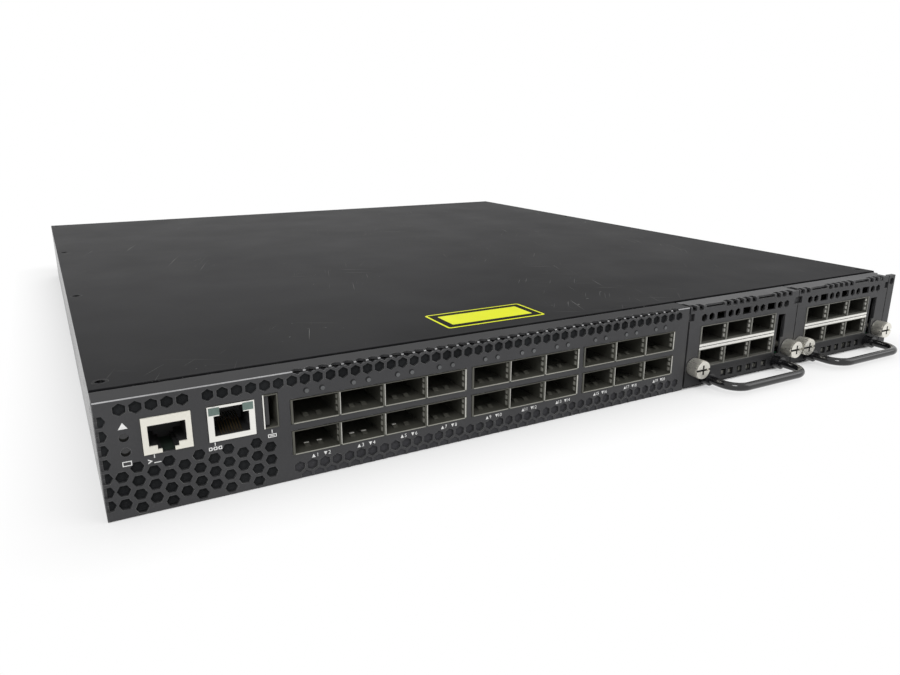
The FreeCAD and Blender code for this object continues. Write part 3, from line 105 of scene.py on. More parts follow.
class Plane(Enum):
    """The planes that flat pieces are drawn on, as seen by someone who looks at that side."""

    FRONT = Matrix(((1, 0, 0), (0, 0, -1), (0, 1, 0)))
    REAR = Matrix(((-1, 0, 0), (0, 0, 1), (0, 1, 0)))
    TOP = Matrix(((1, 0, 0), (0, 1, 0), (0, 0, 1)))
    LEFT = Matrix(((0, 0, -1), (-1, 0, 0), (0, 1, 0)))
    RIGHT = Matrix(((0, 0, 1), (1, 0, 0), (0, 1, 0)))


def rgba(colour: Rgb) -> tuple[float, float, float, float]:
    """A colour with full alpha."""
    return (*colour, 1.0)


def box_mm(node: str) -> tuple[Vector, Vector]:
    """The lowest and highest corner of a CAD node, in millimetres."""
    low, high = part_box(node)
    return low / MM, high / MM


class Wires:
    """Adds and joins the nodes of one material or group."""

    def __init__(self, tree: bpy.types.NodeTree) -> None:
        """Starts on a node tree."""
        self.tree = tree

    def node(self, kind: str, inputs: dict | None = None, **settings: Any) -> bpy.types.Node:
        """Adds a shader node.

        Args:
            kind: The node's type without its common prefix.
            inputs: Sockets to link and values to set, by input name or number.
            settings: Plain properties of the node.

        Returns:
            The new node.
        """
        made = self.tree.nodes.new("ShaderNode" + kind)
        for name, value in settings.items():
            setattr(made, name, value)
        for name, value in (inputs or {}).items():
            self.feed(made.inputs[name], value)
        return made

    def feed(self, target: Socket, value: Any) -> None:
        """Links a socket to an input, or sets a plain value on it.

        Args:
            target: The input.
            value: A socket, or what is set on the input.
        """
        if isinstance(value, bpy.types.NodeSocket):
            self.tree.links.new(value, target)
        else:
            target.default_value = value

    def math(self, operation: str, first: Any, second: Any = 0.0) -> Socket:
        """The result of one sum on two values."""
        return self.node("Math", {0: first, 1: second}, operation=operation).outputs[0]

    def vector(self, operation: str, first: Any, second: Any) -> bpy.types.Node:
        """A sum on two vectors."""
        return self.node("VectorMath", {0: first, 1: second}, operation=operation)

    def ramp(self, value: Any, low: float, high: float, start: Any = 0.0, end: Any = 1.0) -> Socket:
        """A value's place between two limits, set over to a new range."""
        inputs = {"Value": value, "From Min": low, "From Max": high, "To Min": start, "To Max": end}
        return self.node("MapRange", inputs).outputs[0]

    def mix(self, factor: Any, first: Any, second: Any) -> Socket:
        """A colour between two colours."""
        return self.node("Mix", {0: factor, 6: first, 7: second}, data_type="RGBA").outputs[2]

    def mix_value(self, factor: Any, first: Any, second: Any) -> Socket:
        """A number between two numbers."""
        return self.node("Mix", {0: factor, 2: first, 3: second}, data_type="FLOAT").outputs[0]

    def place(self) -> Socket:
        """The point of the frame that is shaded, in metres."""
        return self.node("TexCoord").outputs["Object"]

    def noise(self, vector: Any, scale: Any, detail: float = 2.0) -> Socket:
        """Smooth noise over the surface."""
        inputs = {"Vector": vector, "Scale": scale, "Detail": detail}
        return self.node("TexNoise", inputs).outputs[0]

    def seen(self) -> Socket:
        """Tells what is looked at from light that bounces.

        Returns:
            1 for rays from the camera, from a reflection or through glass, else 0.
        """
        path = self.node("LightPath").outputs
        direct = self.math("MAXIMUM", path["Is Camera Ray"], path["Is Glossy Ray"])
        return self.math("MAXIMUM", direct, path["Is Transmission Ray"])

    def effect(self, effect: Effect, inputs: dict[str, Any]) -> bpy.types.Node:
        """Places a shared effect with its own values.

        Args:
            effect: The effect wanted.
            inputs: Its inputs by name.

        Returns:
            The group node, with outputs by name.
        """
        made = self.node("Group", node_tree=effect_tree(effect))
        for name, value in inputs.items():
            self.feed(made.inputs[name], value)
        return made


class EffectGroup:
    """A shader node group under construction."""

    KINDS = {float: "NodeSocketFloat", 3: "NodeSocketVector", 4: "NodeSocketColor"}

    def __init__(self, effect: Effect, inputs: dict[str, Any], outputs: dict[str, Any]) -> None:
        """Makes the group and its sockets, whose kinds follow the sample values.

        Args:
            effect: The effect, whose value names the group.
            inputs: Sample values of the inputs by name, which are their defaults too.
            outputs: Sample values of the outputs by name.
        """
        self.tree = bpy.data.node_groups.new(effect.value, "ShaderNodeTree")
        for direction, sockets in (("INPUT", inputs), ("OUTPUT", outputs)):
            for name, value in sockets.items():
                kind = self.KINDS[float if isinstance(value, float) else len(value)]
                made = self.tree.interface.new_socket(name, in_out=direction, socket_type=kind)
                made.default_value = value
        self.wires = Wires(self.tree)
        self.given = self.tree.nodes.new("NodeGroupInput").outputs
        self.result = self.tree.nodes.new("NodeGroupOutput").inputs

    def give(self, name: str, value: Any) -> None:
        """Sends a socket to one of the group's outputs."""
        self.wires.feed(self.result[name], value)


def grain_group() -> bpy.types.NodeTree:
    """Fine grain with broad, faint clouds of tone and gloss.

    Returns:
        The new node group.
    """
    inputs = {"Colour": BLACK, "Tone": 0.1, "Roughness": 0.5, "Gloss": 0.1, "Fineness": 1000.0}
    group = EffectGroup(Effect.GRAIN, inputs, {"Colour": BLACK, "Roughness": 0.5, "Height": 0.0})
    wires = group.wires
    place = wires.place()
    fine = wires.noise(place, group.given["Fineness"])
    broad = wires.noise(place, scale=38.0, detail=4.0)
    spread = wires.math("MULTIPLY", wires.ramp(broad, *NOISE_SPAN, -1.0, 1.0), group.given["Tone"])
    speck = wires.math("MULTIPLY", wires.ramp(fine, *NOISE_SPAN, -0.5, 0.5), group.given["Tone"])
    factor = wires.math("ADD", 1.0, wires.math("ADD", spread, speck))
    toned = wires.node("VectorMath", {0: group.given["Colour"], "Scale": factor}, operation="SCALE")
    cloud = wires.ramp(wires.noise(place, scale=21.0, detail=5.0), *NOISE_SPAN, -0.5, 0.5)
    shift = wires.math("MULTIPLY", cloud, group.given["Gloss"])
    group.give("Colour", toned.outputs[0])
    group.give("Roughness", wires.math("ADD", group.given["Roughness"], shift))
    group.give("Height", fine)
    return group.tree


def edge_wear_group() -> bpy.types.NodeTree:
    """Paint worn thin along outer edges, broken up by noise.

    Returns:
        The new node group.
    """
    inputs = {"Colour": BLACK, "Worn": BLACK, "Roughness": 0.5, "Width": 0.0004, "Amount": 0.5}
    group = EffectGroup(Effect.EDGE_WEAR, inputs, {"Colour": BLACK, "Roughness": 0.5, "Mask": 0.0})
    wires = group.wires
    round_off = wires.node("Bevel", {"Radius": group.given["Width"]}, samples=4).outputs[0]
    true_normal = wires.node("NewGeometry").outputs["Normal"]
    turn = wires.vector("DOT_PRODUCT", round_off, true_normal).outputs["Value"]
    edge = wires.ramp(turn, low=0.995, high=0.80)
    broken = wires.ramp(wires.noise(wires.place(), scale=260.0, detail=5.0), low=0.42, high=0.68)
    mask = wires.math("MULTIPLY", wires.math("MULTIPLY", edge, broken), group.given["Amount"])
    group.give("Colour", wires.mix(mask, group.given["Colour"], group.given["Worn"]))
    group.give("Roughness", wires.mix_value(mask, group.given["Roughness"], WORN_ROUGHNESS))
    group.give("Mask", mask)
    return group.tree


def scuffs_group() -> bpy.types.NodeTree:
    """Sparse fine scratches in three directions, gathered in patches, and a few chips.

    Returns:
        The new node group.
    """
    inputs = {"Colour": BLACK, "Mark": BLACK, "Roughness": 0.5, "Amount": 0.5}
    group = EffectGroup(Effect.SCUFFS, inputs, {"Colour": BLACK, "Roughness": 0.5})
    wires = group.wires
    place = wires.place()
    patches = wires.ramp(wires.noise(place, scale=17.0, detail=3.0), low=0.52, high=0.66)
    lines = None
    for angle, length, fineness in ((0.5, 26.0, 1500.0), (-0.9, 34.0, 1900.0), (1.9, 20.0, 1300.0)):
        turned = wires.node("Mapping", {"Vector": place, "Rotation": (0.0, 0.0, angle)})
        drawn = wires.vector("MULTIPLY", turned.outputs[0], (length, fineness, fineness)).outputs[0]
        line = wires.ramp(wires.noise(drawn, scale=1.0, detail=1.0), low=0.735, high=0.80)
        lines = line if lines is None else wires.math("MAXIMUM", lines, line)
    chips = wires.ramp(wires.noise(place, scale=420.0, detail=1.0), low=0.79, high=0.82)
    marks = wires.math("MULTIPLY", wires.math("MAXIMUM", lines, chips), patches)
    mask = wires.math("MULTIPLY", marks, group.given["Amount"])
    group.give("Colour", wires.mix(mask, group.given["Colour"], group.given["Mark"]))
    group.give("Roughness", wires.mix_value(mask, group.given["Roughness"], SCUFF_ROUGHNESS))
    return group.tree


def dust_group() -> bpy.types.NodeTree:
    """A thin film of dust on faces that look up.

    Returns:
        The new node group.
    """
    inputs = {"Colour": BLACK, "Dust": BLACK, "Roughness": 0.5, "Amount": 0.1}
    group = EffectGroup(Effect.DUST, inputs, {"Colour": BLACK, "Roughness": 0.5})
    wires = group.wires
    normal = wires.node("NewGeometry").outputs["Normal"]
    upward = wires.ramp(wires.node("SeparateXYZ", {0: normal}).outputs["Z"], low=0.5, high=0.98)
    place = wires.place()
    film = wires.ramp(wires.noise(place, scale=9.0, detail=6.0), low=0.35, high=0.75)
    specks = wires.ramp(wires.noise(place, scale=1400.0, detail=1.0), low=0.70, high=0.78)
    cover = wires.math("ADD", film, wires.math("MULTIPLY", specks, 2.0))
    mask = wires.math("MULTIPLY", wires.math("MULTIPLY", cover, upward), group.given["Amount"])
    group.give("Colour", wires.mix(mask, group.given["Colour"], group.given["Dust"]))
    group.give("Roughness", wires.mix_value(mask, group.given["Roughness"], DUST_ROUGHNESS))
    return group.tree


def spangle_group() -> bpy.types.NodeTree:
    """The frosted crystals of galvanised sheet.

    Returns:
        The new node group.
    """
    inputs = {"Colour": BLACK, "Tone": 0.1, "Roughness": 0.4, "Gloss": 0.1, "Fineness": 160.0}
    group = EffectGroup(Effect.SPANGLE, inputs, {"Colour": BLACK, "Roughness": 0.4, "Height": 0.0})
    wires = group.wires
    place = wires.place()
    warp = wires.node("TexNoise", {"Vector": place, "Scale": 90.0}).outputs["Color"]
    bent = wires.node("VectorMath", {0: warp, 1: (0.006,) * 3, 2: place}, operation="MULTIPLY_ADD").outputs[0]
    cells = wires.node("TexVoronoi", {"Vector": bent, "Scale": group.given["Fineness"]}).outputs["Color"]
    shade = wires.node("SeparateColor", {0: cells}).outputs
    spread = wires.math("MULTIPLY", wires.ramp(shade[0], 0.0, 1.0, -1.0, 1.0), group.given["Tone"])
    toned = wires.node(
        "VectorMath", {0: group.given["Colour"], "Scale": wires.math("ADD", 1.0, spread)}, operation="SCALE"
    )
    shift = wires.math("MULTIPLY", wires.ramp(shade[1], 0.0, 1.0, -0.5, 0.5), group.given["Gloss"])
    group.give("Colour", toned.outputs[0])
    group.give("Roughness", wires.math("ADD", group.given["Roughness"], shift))
    group.give("Height", wires.noise(place, scale=900.0))
    return group.tree


def brushing_group() -> bpy.types.NodeTree:
    """Fine drawn lines along one direction.

    Returns:
        The new node group.
    """
    inputs = {
        "Colour": BLACK, "Tone": 0.1, "Roughness": 0.4, "Gloss": 0.1, "Stretch": (60.0, 4000.0, 4000.0),
    }
    group = EffectGroup(Effect.BRUSHING, inputs, {"Colour": BLACK, "Roughness": 0.4, "Height": 0.0})
    wires = group.wires
    place = wires.place()
    drawn = wires.vector("MULTIPLY", place, group.given["Stretch"]).outputs[0]
    lines = wires.noise(drawn, scale=1.0, detail=3.0)
    stains = wires.ramp(wires.noise(place, scale=55.0, detail=4.0), *NOISE_SPAN, -0.6, 0.6)
    both = wires.math("ADD", wires.ramp(lines, *NOISE_SPAN, -0.6, 0.6), stains)
    factor = wires.math("ADD", 1.0, wires.math("MULTIPLY", both, group.given["Tone"]))
    toned = wires.node("VectorMath", {0: group.given["Colour"], "Scale": factor}, operation="SCALE")
    shift = wires.math("MULTIPLY", both, group.given["Gloss"])
    group.give("Colour", toned.outputs[0])
    group.give("Roughness", wires.math("ADD", group.given["Roughness"], shift))
    group.give("Height", lines)
    return group.tree


def zone_group() -> bpy.types.NodeTree:
    """A mask that is 1 inside an upright box of the frame.

    Returns:
        The new node group.
    """
    inputs = {"Centre": (0.0, 0.0, 0.0), "Half": (0.01, 0.01, 0.01)}
    group = EffectGroup(Effect.ZONE, inputs, {"Mask": 0.0})
    wires = group.wires
    away = wires.vector("SUBTRACT", wires.place(), group.given["Centre"]).outputs[0]
    outside = wires.vector("SUBTRACT", wires.vector("ABSOLUTE", away, away).outputs[0], group.given["Half"])
    reach = wires.node("SeparateXYZ", {0: outside.outputs[0]}).outputs
    furthest = wires.math("MAXIMUM", wires.math("MAXIMUM", reach[0], reach[1]), reach[2])
    group.give("Mask", wires.math("LESS_THAN", furthest, 0.0))
    return group.tree


EFFECT_BUILDERS: dict[Effect, Callable[[], bpy.types.NodeTree]] = {
    Effect.GRAIN: grain_group,
    Effect.EDGE_WEAR: edge_wear_group,
    Effect.SCUFFS: scuffs_group,
    Effect.DUST: dust_group,
    Effect.SPANGLE: spangle_group,
    Effect.BRUSHING: brushing_group,
    Effect.ZONE: zone_group,
}


def effect_tree(effect: Effect) -> bpy.types.NodeTree:
    """The node group of an effect, made on first use."""
    return bpy.data.node_groups.get(effect.value) or EFFECT_BUILDERS[effect]()


@dataclass
class Surface:
    """What a finish sends to its shader."""

    colour: Any
    roughness: Any
    height: Any


@dataclass(frozen=True)
class Finish:
    """A surface finish with grain; becomes one material. Lengths in millimetres."""

    name: str
    colour: Rgb
    roughness: float
    metallic: float = 0.0
    specular: float = 0.5
    coat: float = 0.0
    tone: float = 0.12
    gloss: float = 0.14
    grain: float = 0.6
    relief: float = 0.006
    coat_roughness: float = 0.12

    def material(self) -> bpy.types.Material:
        """The finish's material, made on first use."""
        return bpy.data.materials.get(self.name) or self.make()

    def make(self) -> bpy.types.Material:
        """Builds the material around one shader.

        Returns:
            The new material.
        """
        made = bpy.data.materials.new(self.name)
        made.use_nodes = True
        made.diffuse_color = rgba(self.colour)
        made.node_tree.nodes.clear()
        wires = Wires(made.node_tree)
        surface = self.surface(wires)
        bump = wires.node("Bump", {"Height": surface.height, "Distance": self.relief * MM})
        shader = wires.node("BsdfPrincipled", {
            "Base Color": surface.colour,
            "Roughness": surface.roughness,
            "Metallic": self.metalness(wires),
            "Specular IOR Level": self.specular,
            "Coat Weight": self.coat,
            "Coat Roughness": self.coat_roughness,
            "Normal": bump.outputs[0],
        })
        wires.node("OutputMaterial", {"Surface": shader.outputs[0]})
        return made

    def metalness(self, wires: Wires) -> Any:
        """How metallic the surface is."""
        return self.metallic

    def surface(self, wires: Wires) -> Surface:
        """Colour, roughness and relief of the surface.

        Args:
            wires: Adds the material's nodes.

        Returns:
            What feeds the shader.
        """
        grain = wires.effect(Effect.GRAIN, {
            "Colour": rgba(self.colour),
            "Tone": self.tone,
            "Roughness": self.roughness,
            "Gloss": self.gloss,
            "Fineness": 1.0 / (self.grain * MM),
        }).outputs
        return Surface(grain["Colour"], grain["Roughness"], grain["Height"])


@dataclass(frozen=True)
class PaintFinish(Finish):
    """Powder coat with rubbed edges, scuffs and dust."""

    worn: Rgb = (0.30, 0.30, 0.29)
    wear_width: float = 0.35
    wear: float = 0.35
    scuffs: float = 0.0
    dust: float = 0.02
    dust_colour: Rgb = (0.45, 0.44, 0.42)

    def surface(self, wires: Wires) -> Surface:
        """Adds wear, scuffs and dust to the grain.

        Args:
            wires: Adds the material's nodes.

        Returns:
            What feeds the shader.
        """
        base = super().surface(wires)
        worn = wires.effect(Effect.EDGE_WEAR, {
            "Colour": base.colour,
            "Worn": rgba(self.worn),
            "Roughness": base.roughness,
            "Width": self.wear_width * MM,
            "Amount": self.wear,
        }).outputs
        marked = wires.effect(Effect.SCUFFS, {
            "Colour": worn["Colour"],
            "Mark": rgba(self.worn),
            "Roughness": worn["Roughness"],
            "Amount": self.scuffs,
        }).outputs
        dusty = wires.effect(Effect.DUST, {
            "Colour": marked["Colour"],
            "Dust": rgba(self.dust_colour),
            "Roughness": marked["Roughness"],
            "Amount": self.dust,
        }).outputs
        return Surface(dusty["Colour"], dusty["Roughness"], base.height)


@dataclass(frozen=True)
class ZincFinish(Finish):
    """Galvanised sheet with faint crystals."""

    spangle: float = 6.0

    def surface(self, wires: Wires) -> Surface:
        """Crystals in place of grain.

        Args:
            wires: Adds the material's nodes.

        Returns:
            What feeds the shader.
        """
        zinc = wires.effect(Effect.SPANGLE, {
            "Colour": rgba(self.colour),
            "Tone": self.tone,
            "Roughness": self.roughness,
            "Gloss": self.gloss,
            "Fineness": 1.0 / (self.spangle * MM),
        }).outputs
        return Surface(zinc["Colour"], zinc["Roughness"], zinc["Height"])


@dataclass(frozen=True)
class DrawnFinish(Finish):
    """Bright metal with lines left by rolling or turning."""

    stretch: tuple[float, float, float] = (60.0, 4000.0, 4000.0)

    def surface(self, wires: Wires) -> Surface:
        """Drawn lines in place of grain.

        Args:
            wires: Adds the material's nodes.

        Returns:
            What feeds the shader.
        """
        drawn = wires.effect(Effect.BRUSHING, {
            "Colour": rgba(self.colour),
            "Tone": self.tone,
            "Roughness": self.roughness,
            "Gloss": self.gloss,
            "Stretch": self.stretch,
        }).outputs
        return Surface(drawn["Colour"], drawn["Roughness"], drawn["Height"])


@dataclass(frozen=True)
class ZonedFinish(Finish):
    """One finish, with another inside an upright box of the frame. Corners in millimetres."""

    outside: Finish | None = None
    inside: Finish | None = None
    low: tuple[float, float, float] = (0.0, 0.0, 0.0)
    high: tuple[float, float, float] = (1.0, 1.0, 1.0)

    def mask(self, wires: Wires) -> Socket:
        """The mask of the box.

        Args:
            wires: Adds the material's nodes.

        Returns:
            1 inside the box, 0 outside.
        """
        low = Vector(self.low) * MM
        high = Vector(self.high) * MM
        inputs = {"Centre": (low + high) / 2, "Half": (high - low) / 2}
        return wires.effect(Effect.ZONE, inputs).outputs["Mask"]

    def metalness(self, wires: Wires) -> Any:
        """The metal of whichever finish shows.

        Args:
            wires: Adds the material's nodes.

        Returns:
            A plain number where both are alike, else a socket.
        """
        outer = self.outside.metalness(wires)
        inner = self.inside.metalness(wires)
        if outer == inner:
            return outer
        return wires.mix_value(self.mask(wires), outer, inner)

    def surface(self, wires: Wires) -> Surface:
        """Both finishes, parted by the box.

        Args:
            wires: Adds the material's nodes.

        Returns:
            What feeds the shader.
        """
        mask = self.mask(wires)
        outer = self.outside.surface(wires)
        inner = self.inside.surface(wires)
        return Surface(
            wires.mix(mask, outer.colour, inner.colour),
            wires.mix_value(mask, outer.roughness, inner.roughness),
            wires.mix_value(mask, outer.height, inner.height),
        )


PANEL_PAINT = PaintFinish(
    "panel_paint", (0.035, 0.035, 0.037), 0.50, specular=0.36, tone=0.10, gloss=0.08, wear=0.55, relief=0.012,
)
TRAY_PAINT = PaintFinish(
    "tray_paint", (0.034, 0.034, 0.036), 0.24, specular=0.5, tone=0.10, gloss=0.06, wear=0.55, relief=0.006,
)
# Painted shade: a darker copy of the panel paint, for the band under a module's ports and the holes of the
# port lamps.
SHADE_PAINT = PaintFinish(
    "shade_paint", (0.011, 0.011, 0.012), 0.55, specular=0.2, tone=0.12, gloss=0.08, wear=0.3, dust=0.0,
    relief=0.012,
)
# Foam liner whose dark colour is also painted shade for the inside of the vent holes.
VENT_FOAM_SHADE = Finish(
    "vent_foam_shade", (0.017, 0.018, 0.019), 0.9, specular=0.05, tone=0.35, gloss=0.0, grain=0.5, relief=0.08,
)
FAN_PAINT = PaintFinish(
    "fan_paint", (0.014, 0.014, 0.015), 0.45, tone=0.10, gloss=0.08, wear=0.55, relief=0.008,
)
SILL_PAINT = Finish("sill_paint", (0.040, 0.040, 0.044), 0.7, specular=0.2, tone=0.15, relief=0.01)
# The lid's black paint with real scuffs and dust, made darker and nearly without specular as painted shade
# for the dark reflection it shows.
LID_PAINT = PaintFinish(
    "lid_paint", (0.011, 0.011, 0.012), 0.40, specular=0.012, tone=0.08, gloss=0.05, wear=0.6, scuffs=0.5,
    dust=0.012, relief=0.006, grain=0.8,
)
# Painted shade: a darker, flatter copy of the panel paint for the top flange, standing in for the dark
# reflection it shows.
FLANGE_SHADE_PAINT = PaintFinish(
    "flange_shade_paint", (0.016, 0.016, 0.017), 0.78, tone=0.10, gloss=0.06, wear=0.55, dust=0.006, relief=0.012,
)
# Painted highlight: a light copy of the panel paint for the line along the front panel's fold.
FOLD_HIGHLIGHT = PaintFinish(
    "fold_highlight", (0.32, 0.32, 0.325), 0.36, specular=0.5, tone=0.2, gloss=0.1, wear=0.8, relief=0.008,
)
SCREW_BLACK = PaintFinish(
    "screw_black", (0.012, 0.012, 0.013), 0.42, specular=0.02, wear=0.4, wear_width=0.2, relief=0.003,
)
ROD_BLACK = PaintFinish(
    "rod_black", (0.007, 0.007, 0.008), 0.12, specular=0.55, gloss=0.06, wear=0.2, dust=0.006, relief=0.002,
)
ZINC = ZincFinish("galvanised_sheet", (0.45, 0.465, 0.475), 0.36, metallic=1.0, tone=0.10, gloss=0.16)
CAGE_STEEL = DrawnFinish("cage_steel", (0.40, 0.395, 0.365), 0.36, metallic=1.0, tone=0.14, relief=0.002)
BRIGHT_STEEL = DrawnFinish("bright_steel", (0.82, 0.81, 0.77), 0.34, metallic=1.0, tone=0.08, relief=0.002)
LIP_STEEL = DrawnFinish("lip_steel", (0.46, 0.455, 0.42), 0.42, metallic=0.45, tone=0.16, relief=0.002)
SILL_STEEL = DrawnFinish("sill_steel", (0.30, 0.297, 0.262), 0.42, metallic=0.45, tone=0.2, relief=0.002)
# Painted shade: a dimmer copy of cage steel, for the mouths of the module cages and the fingers behind the
# module vents.
DIM_STEEL = DrawnFinish("dim_steel", (0.17, 0.168, 0.15), 0.45, metallic=0.5, tone=0.22, relief=0.002)
# Painted highlight: a light copy of steel for the tips of the floor springs.
TIP_HIGHLIGHT_STEEL = DrawnFinish("tip_highlight_steel", (0.78, 0.77, 0.72), 0.4, metallic=0.15, tone=0.1, relief=0.002)
# Painted shade: a dark copy of cage steel, for the fixed cages, the floor springs and the serial socket's
# shell.
SHADED_STEEL = DrawnFinish("shaded_steel", (0.085, 0.084, 0.070), 0.5, metallic=0.4, tone=0.2, relief=0.002)
# Painted shade: a still darker copy of steel, for the insides of the module cages and the cross recesses of
# the captive screws.
DEEP_SHADE_STEEL = DrawnFinish("deep_shade_steel", (0.040, 0.039, 0.033), 0.5, metallic=0.4, tone=0.2, relief=0.002)
NICKEL = DrawnFinish(
    "nickel_plate", (0.80, 0.78, 0.71), 0.34, metallic=0.9, tone=0.1, relief=0.002,
    stretch=(5000.0, 300.0, 5000.0),
)
GOLD = DrawnFinish("gold_contact", (0.50, 0.37, 0.17), 0.3, metallic=1.0, tone=0.08, relief=0.001)
# Painted shade: a dark copy of the gold contacts, for the management jack.
SHADED_GOLD = DrawnFinish("shaded_gold", (0.085, 0.062, 0.030), 0.4, metallic=0.8, tone=0.1, relief=0.001)
FIN_METAL = DrawnFinish(
    "fin_aluminium", (0.70, 0.70, 0.71), 0.36, metallic=1.0, stretch=(4000.0, 60.0, 4000.0),
)
BLACK_PLASTIC = Finish("black_plastic", (0.020, 0.020, 0.021), 0.5, grain=0.4, relief=0.008)
CREAM_PLASTIC = Finish("cream_plastic", (0.74, 0.72, 0.645), 0.5, tone=0.05, grain=0.5, relief=0.006)
RED_COAT = Finish("red_dip_coat", (0.62, 0.022, 0.016), 0.24, coat=0.4, tone=0.08, grain=1.5, relief=0.01)
LATCH_RED = Finish("latch_red", (0.32, 0.075, 0.055), 0.5, grain=0.4, relief=0.008)
SMOKED_LENS = Finish("smoked_lens", (0.014, 0.014, 0.015), 0.2, coat=0.2, tone=0.1, relief=0.001)
CLEAR_LENS = Finish("milky_lens", (0.75, 0.79, 0.76), 0.2, coat=0.3, tone=0.06, relief=0.001)
GREEN_LENS = Finish("green_lens", (0.10, 0.15, 0.13), 0.2, coat=0.3, tone=0.15, relief=0.001)
GREY_LENS = Finish("grey_lens", (0.085, 0.088, 0.09), 0.35, coat=0.1, tone=0.2, relief=0.001)
WHITE_INK = Finish("white_ink", (0.72, 0.72, 0.71), 0.55, tone=0.08, grain=0.3, relief=0.002)
YELLOW_FILM = PaintFinish(
    "yellow_film", (0.70, 0.74, 0.008), 0.55, specular=0.1, tone=0.06, wear=0.0, scuffs=0.12, dust=0.02,
    relief=0.003,
)
# Black for the printed band on the lid label, and painted shade on the status lamps.
BLACK_PRINT_AND_SHADE = Finish("black_print_and_shade", (0.010, 0.010, 0.009), 0.7, specular=0.04, tone=0.1, relief=0.002)
WHITE_FILM = Finish("white_film", (0.78, 0.78, 0.76), 0.5, tone=0.05, relief=0.003)
SOLDER_MASK = Finish(
    "solder_mask", (0.012, 0.055, 0.028), 0.4, specular=0.4, tone=0.2, grain=1.2, relief=0.02,
)
# Painted shade: a dark copy of the solder mask, for the main board seen behind the vents.
SHADED_MASK = Finish(
    "shaded_mask", (0.020, 0.030, 0.023), 0.55, specular=0.2, tone=0.3, grain=1.2, relief=0.02,
)
TRACK_MASK = Finish("track_mask", (0.022, 0.095, 0.05), 0.4, specular=0.4, tone=0.15, relief=0.004)
CHIP_BLACK = Finish("chip_black", (0.016, 0.016, 0.017), 0.6, grain=0.25, relief=0.01)
CHOKE_GREY = Finish("choke_grey", (0.06, 0.06, 0.062), 0.7, tone=0.2, grain=0.3, relief=0.02)

SLOT_FINISHES: dict[str, Finish] = {
    "black_paint": PANEL_PAINT,
    "black_screw": SCREW_BLACK,
    "galvanised": ZINC,
    "cage_steel": CAGE_STEEL,
    "black_plastic": BLACK_PLASTIC,
    "cream_plastic": CREAM_PLASTIC,
    "red_coat": RED_COAT,
    "black_rod": ROD_BLACK,
    "circuit_board": SOLDER_MASK,
    "fin_aluminium": FIN_METAL,
    "nickel": NICKEL,
    "lamp_lens": SMOKED_LENS,
    "release_red": LATCH_RED,
}


class Sketch:
    """Gathers the faces of one new piece, in millimetres of the frame."""

    def __init__(self) -> None:
        """Starts with no faces."""
        self.faces = bmesh.new()

    def slab(self, outline: Sequence[Point], plane: Plane, at: float, thick: float) -> None:
        """Adds a flat closed shape.

        Args:
            outline: Corners across and up on the plane, as its side is looked at.
            plane: The side that the shape lies on.
            at: How far out from the origin its underside lies, along the side's outward direction.
            thick: How far it stands out.
        """
        turn = plane.value
        base = [self.faces.verts.new(turn @ Vector((u, v, at))) for u, v in outline]
        face = self.faces.faces.new(base)
        grown = bmesh.ops.extrude_face_region(self.faces, geom=[face])["geom"]
        moved = [part for part in grown if isinstance(part, bmesh.types.BMVert)]
        bmesh.ops.translate(self.faces, verts=moved, vec=turn @ Vector((0.0, 0.0, thick)))

    def bar(self, low: Vector, high: Vector) -> None:
        """Adds an upright bar between two corners."""
        outline = rectangle((low.x, low.y), (high.x, high.y))
        self.slab(outline, Plane.TOP, low.z, high.z - low.z)

    def strip(self, path: Sequence[Point], low_x: float, high_x: float, thick: float) -> None:
        """Adds a bent strip of metal, whose path is the Y and Z of its underside."""
        above = [(y, z + thick) for y, z in reversed(path)]
        self.slab([*path, *above], Plane.RIGHT, low_x, high_x - low_x)

    def digits(self, text: str, middle: Point, height: float, plane: Plane, at: float) -> None:
        """Adds a printed number.

        Args:
            text: The digits.
            middle: Its middle, across and up on the plane.
            height: The digits' height.
            plane: The side it is printed on.
            at: How far out that side lies.
        """
        curve = bpy.data.curves.new("digits", "FONT")
        curve.body = text
        curve.size = height / CAP_SHARE
        curve.align_x = "CENTER"
        curve.align_y = "CENTER"
        curve.resolution_u = 3
        curve.extrude = HAIR / 2
        holder = bpy.data.objects.new("digits", curve)
        drawn = bpy.data.meshes.new_from_object(holder)
        shift = Matrix.Translation((*middle, at + HAIR / 2))
        drawn.transform(plane.value.to_4x4() @ shift)
        self.faces.from_mesh(drawn)
        bpy.data.objects.remove(holder)
        bpy.data.curves.remove(curve)
        bpy.data.meshes.remove(drawn)

    def piece(self, name: str, body: str, finish: Finish, bevel: float = 0.0,
              smooth: bool = False) -> bpy.types.Object:
        """Turns the faces into a piece that rides on a body.

        Args:
            name: The piece's name.
            body: The CAD body that carries it.
            finish: Its finish.
            bevel: Width of the rounding on its edges.
            smooth: Whether shallow edges are shaded smooth.

        Returns:
            The new object.
        """
        bmesh.ops.recalc_face_normals(self.faces, faces=self.faces.faces)
        bmesh.ops.scale(self.faces, vec=(MM, MM, MM), verts=self.faces.verts)
        mesh = bpy.data.meshes.new(name)
        self.faces.to_mesh(mesh)
        self.faces.free()
        made = bpy.data.objects.new(name, mesh)
        bpy.context.scene.collection.objects.link(made)
        mesh.materials.append(finish.material())
        if bevel > 0.0:
            rounding = made.modifiers.new("rounding", "BEVEL")
            rounding.width = bevel * MM
            rounding.segments = 2
            rounding.limit_method = "ANGLE"
            rounding.angle_limit = BEVEL_ANGLE
        if smooth:
            mesh.shade_smooth()
            mesh.set_sharp_from_angle(angle=SMOOTH_ANGLE)
        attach(made, body)
        LOG.info("%s rides on %s", name, body)
        return made


def rectangle(low: Point, high: Point) -> list[Point]:
    """The corners of an upright rectangle."""
    return [(low[0], low[1]), (high[0], low[1]), (high[0], high[1]), (low[0], high[1])]


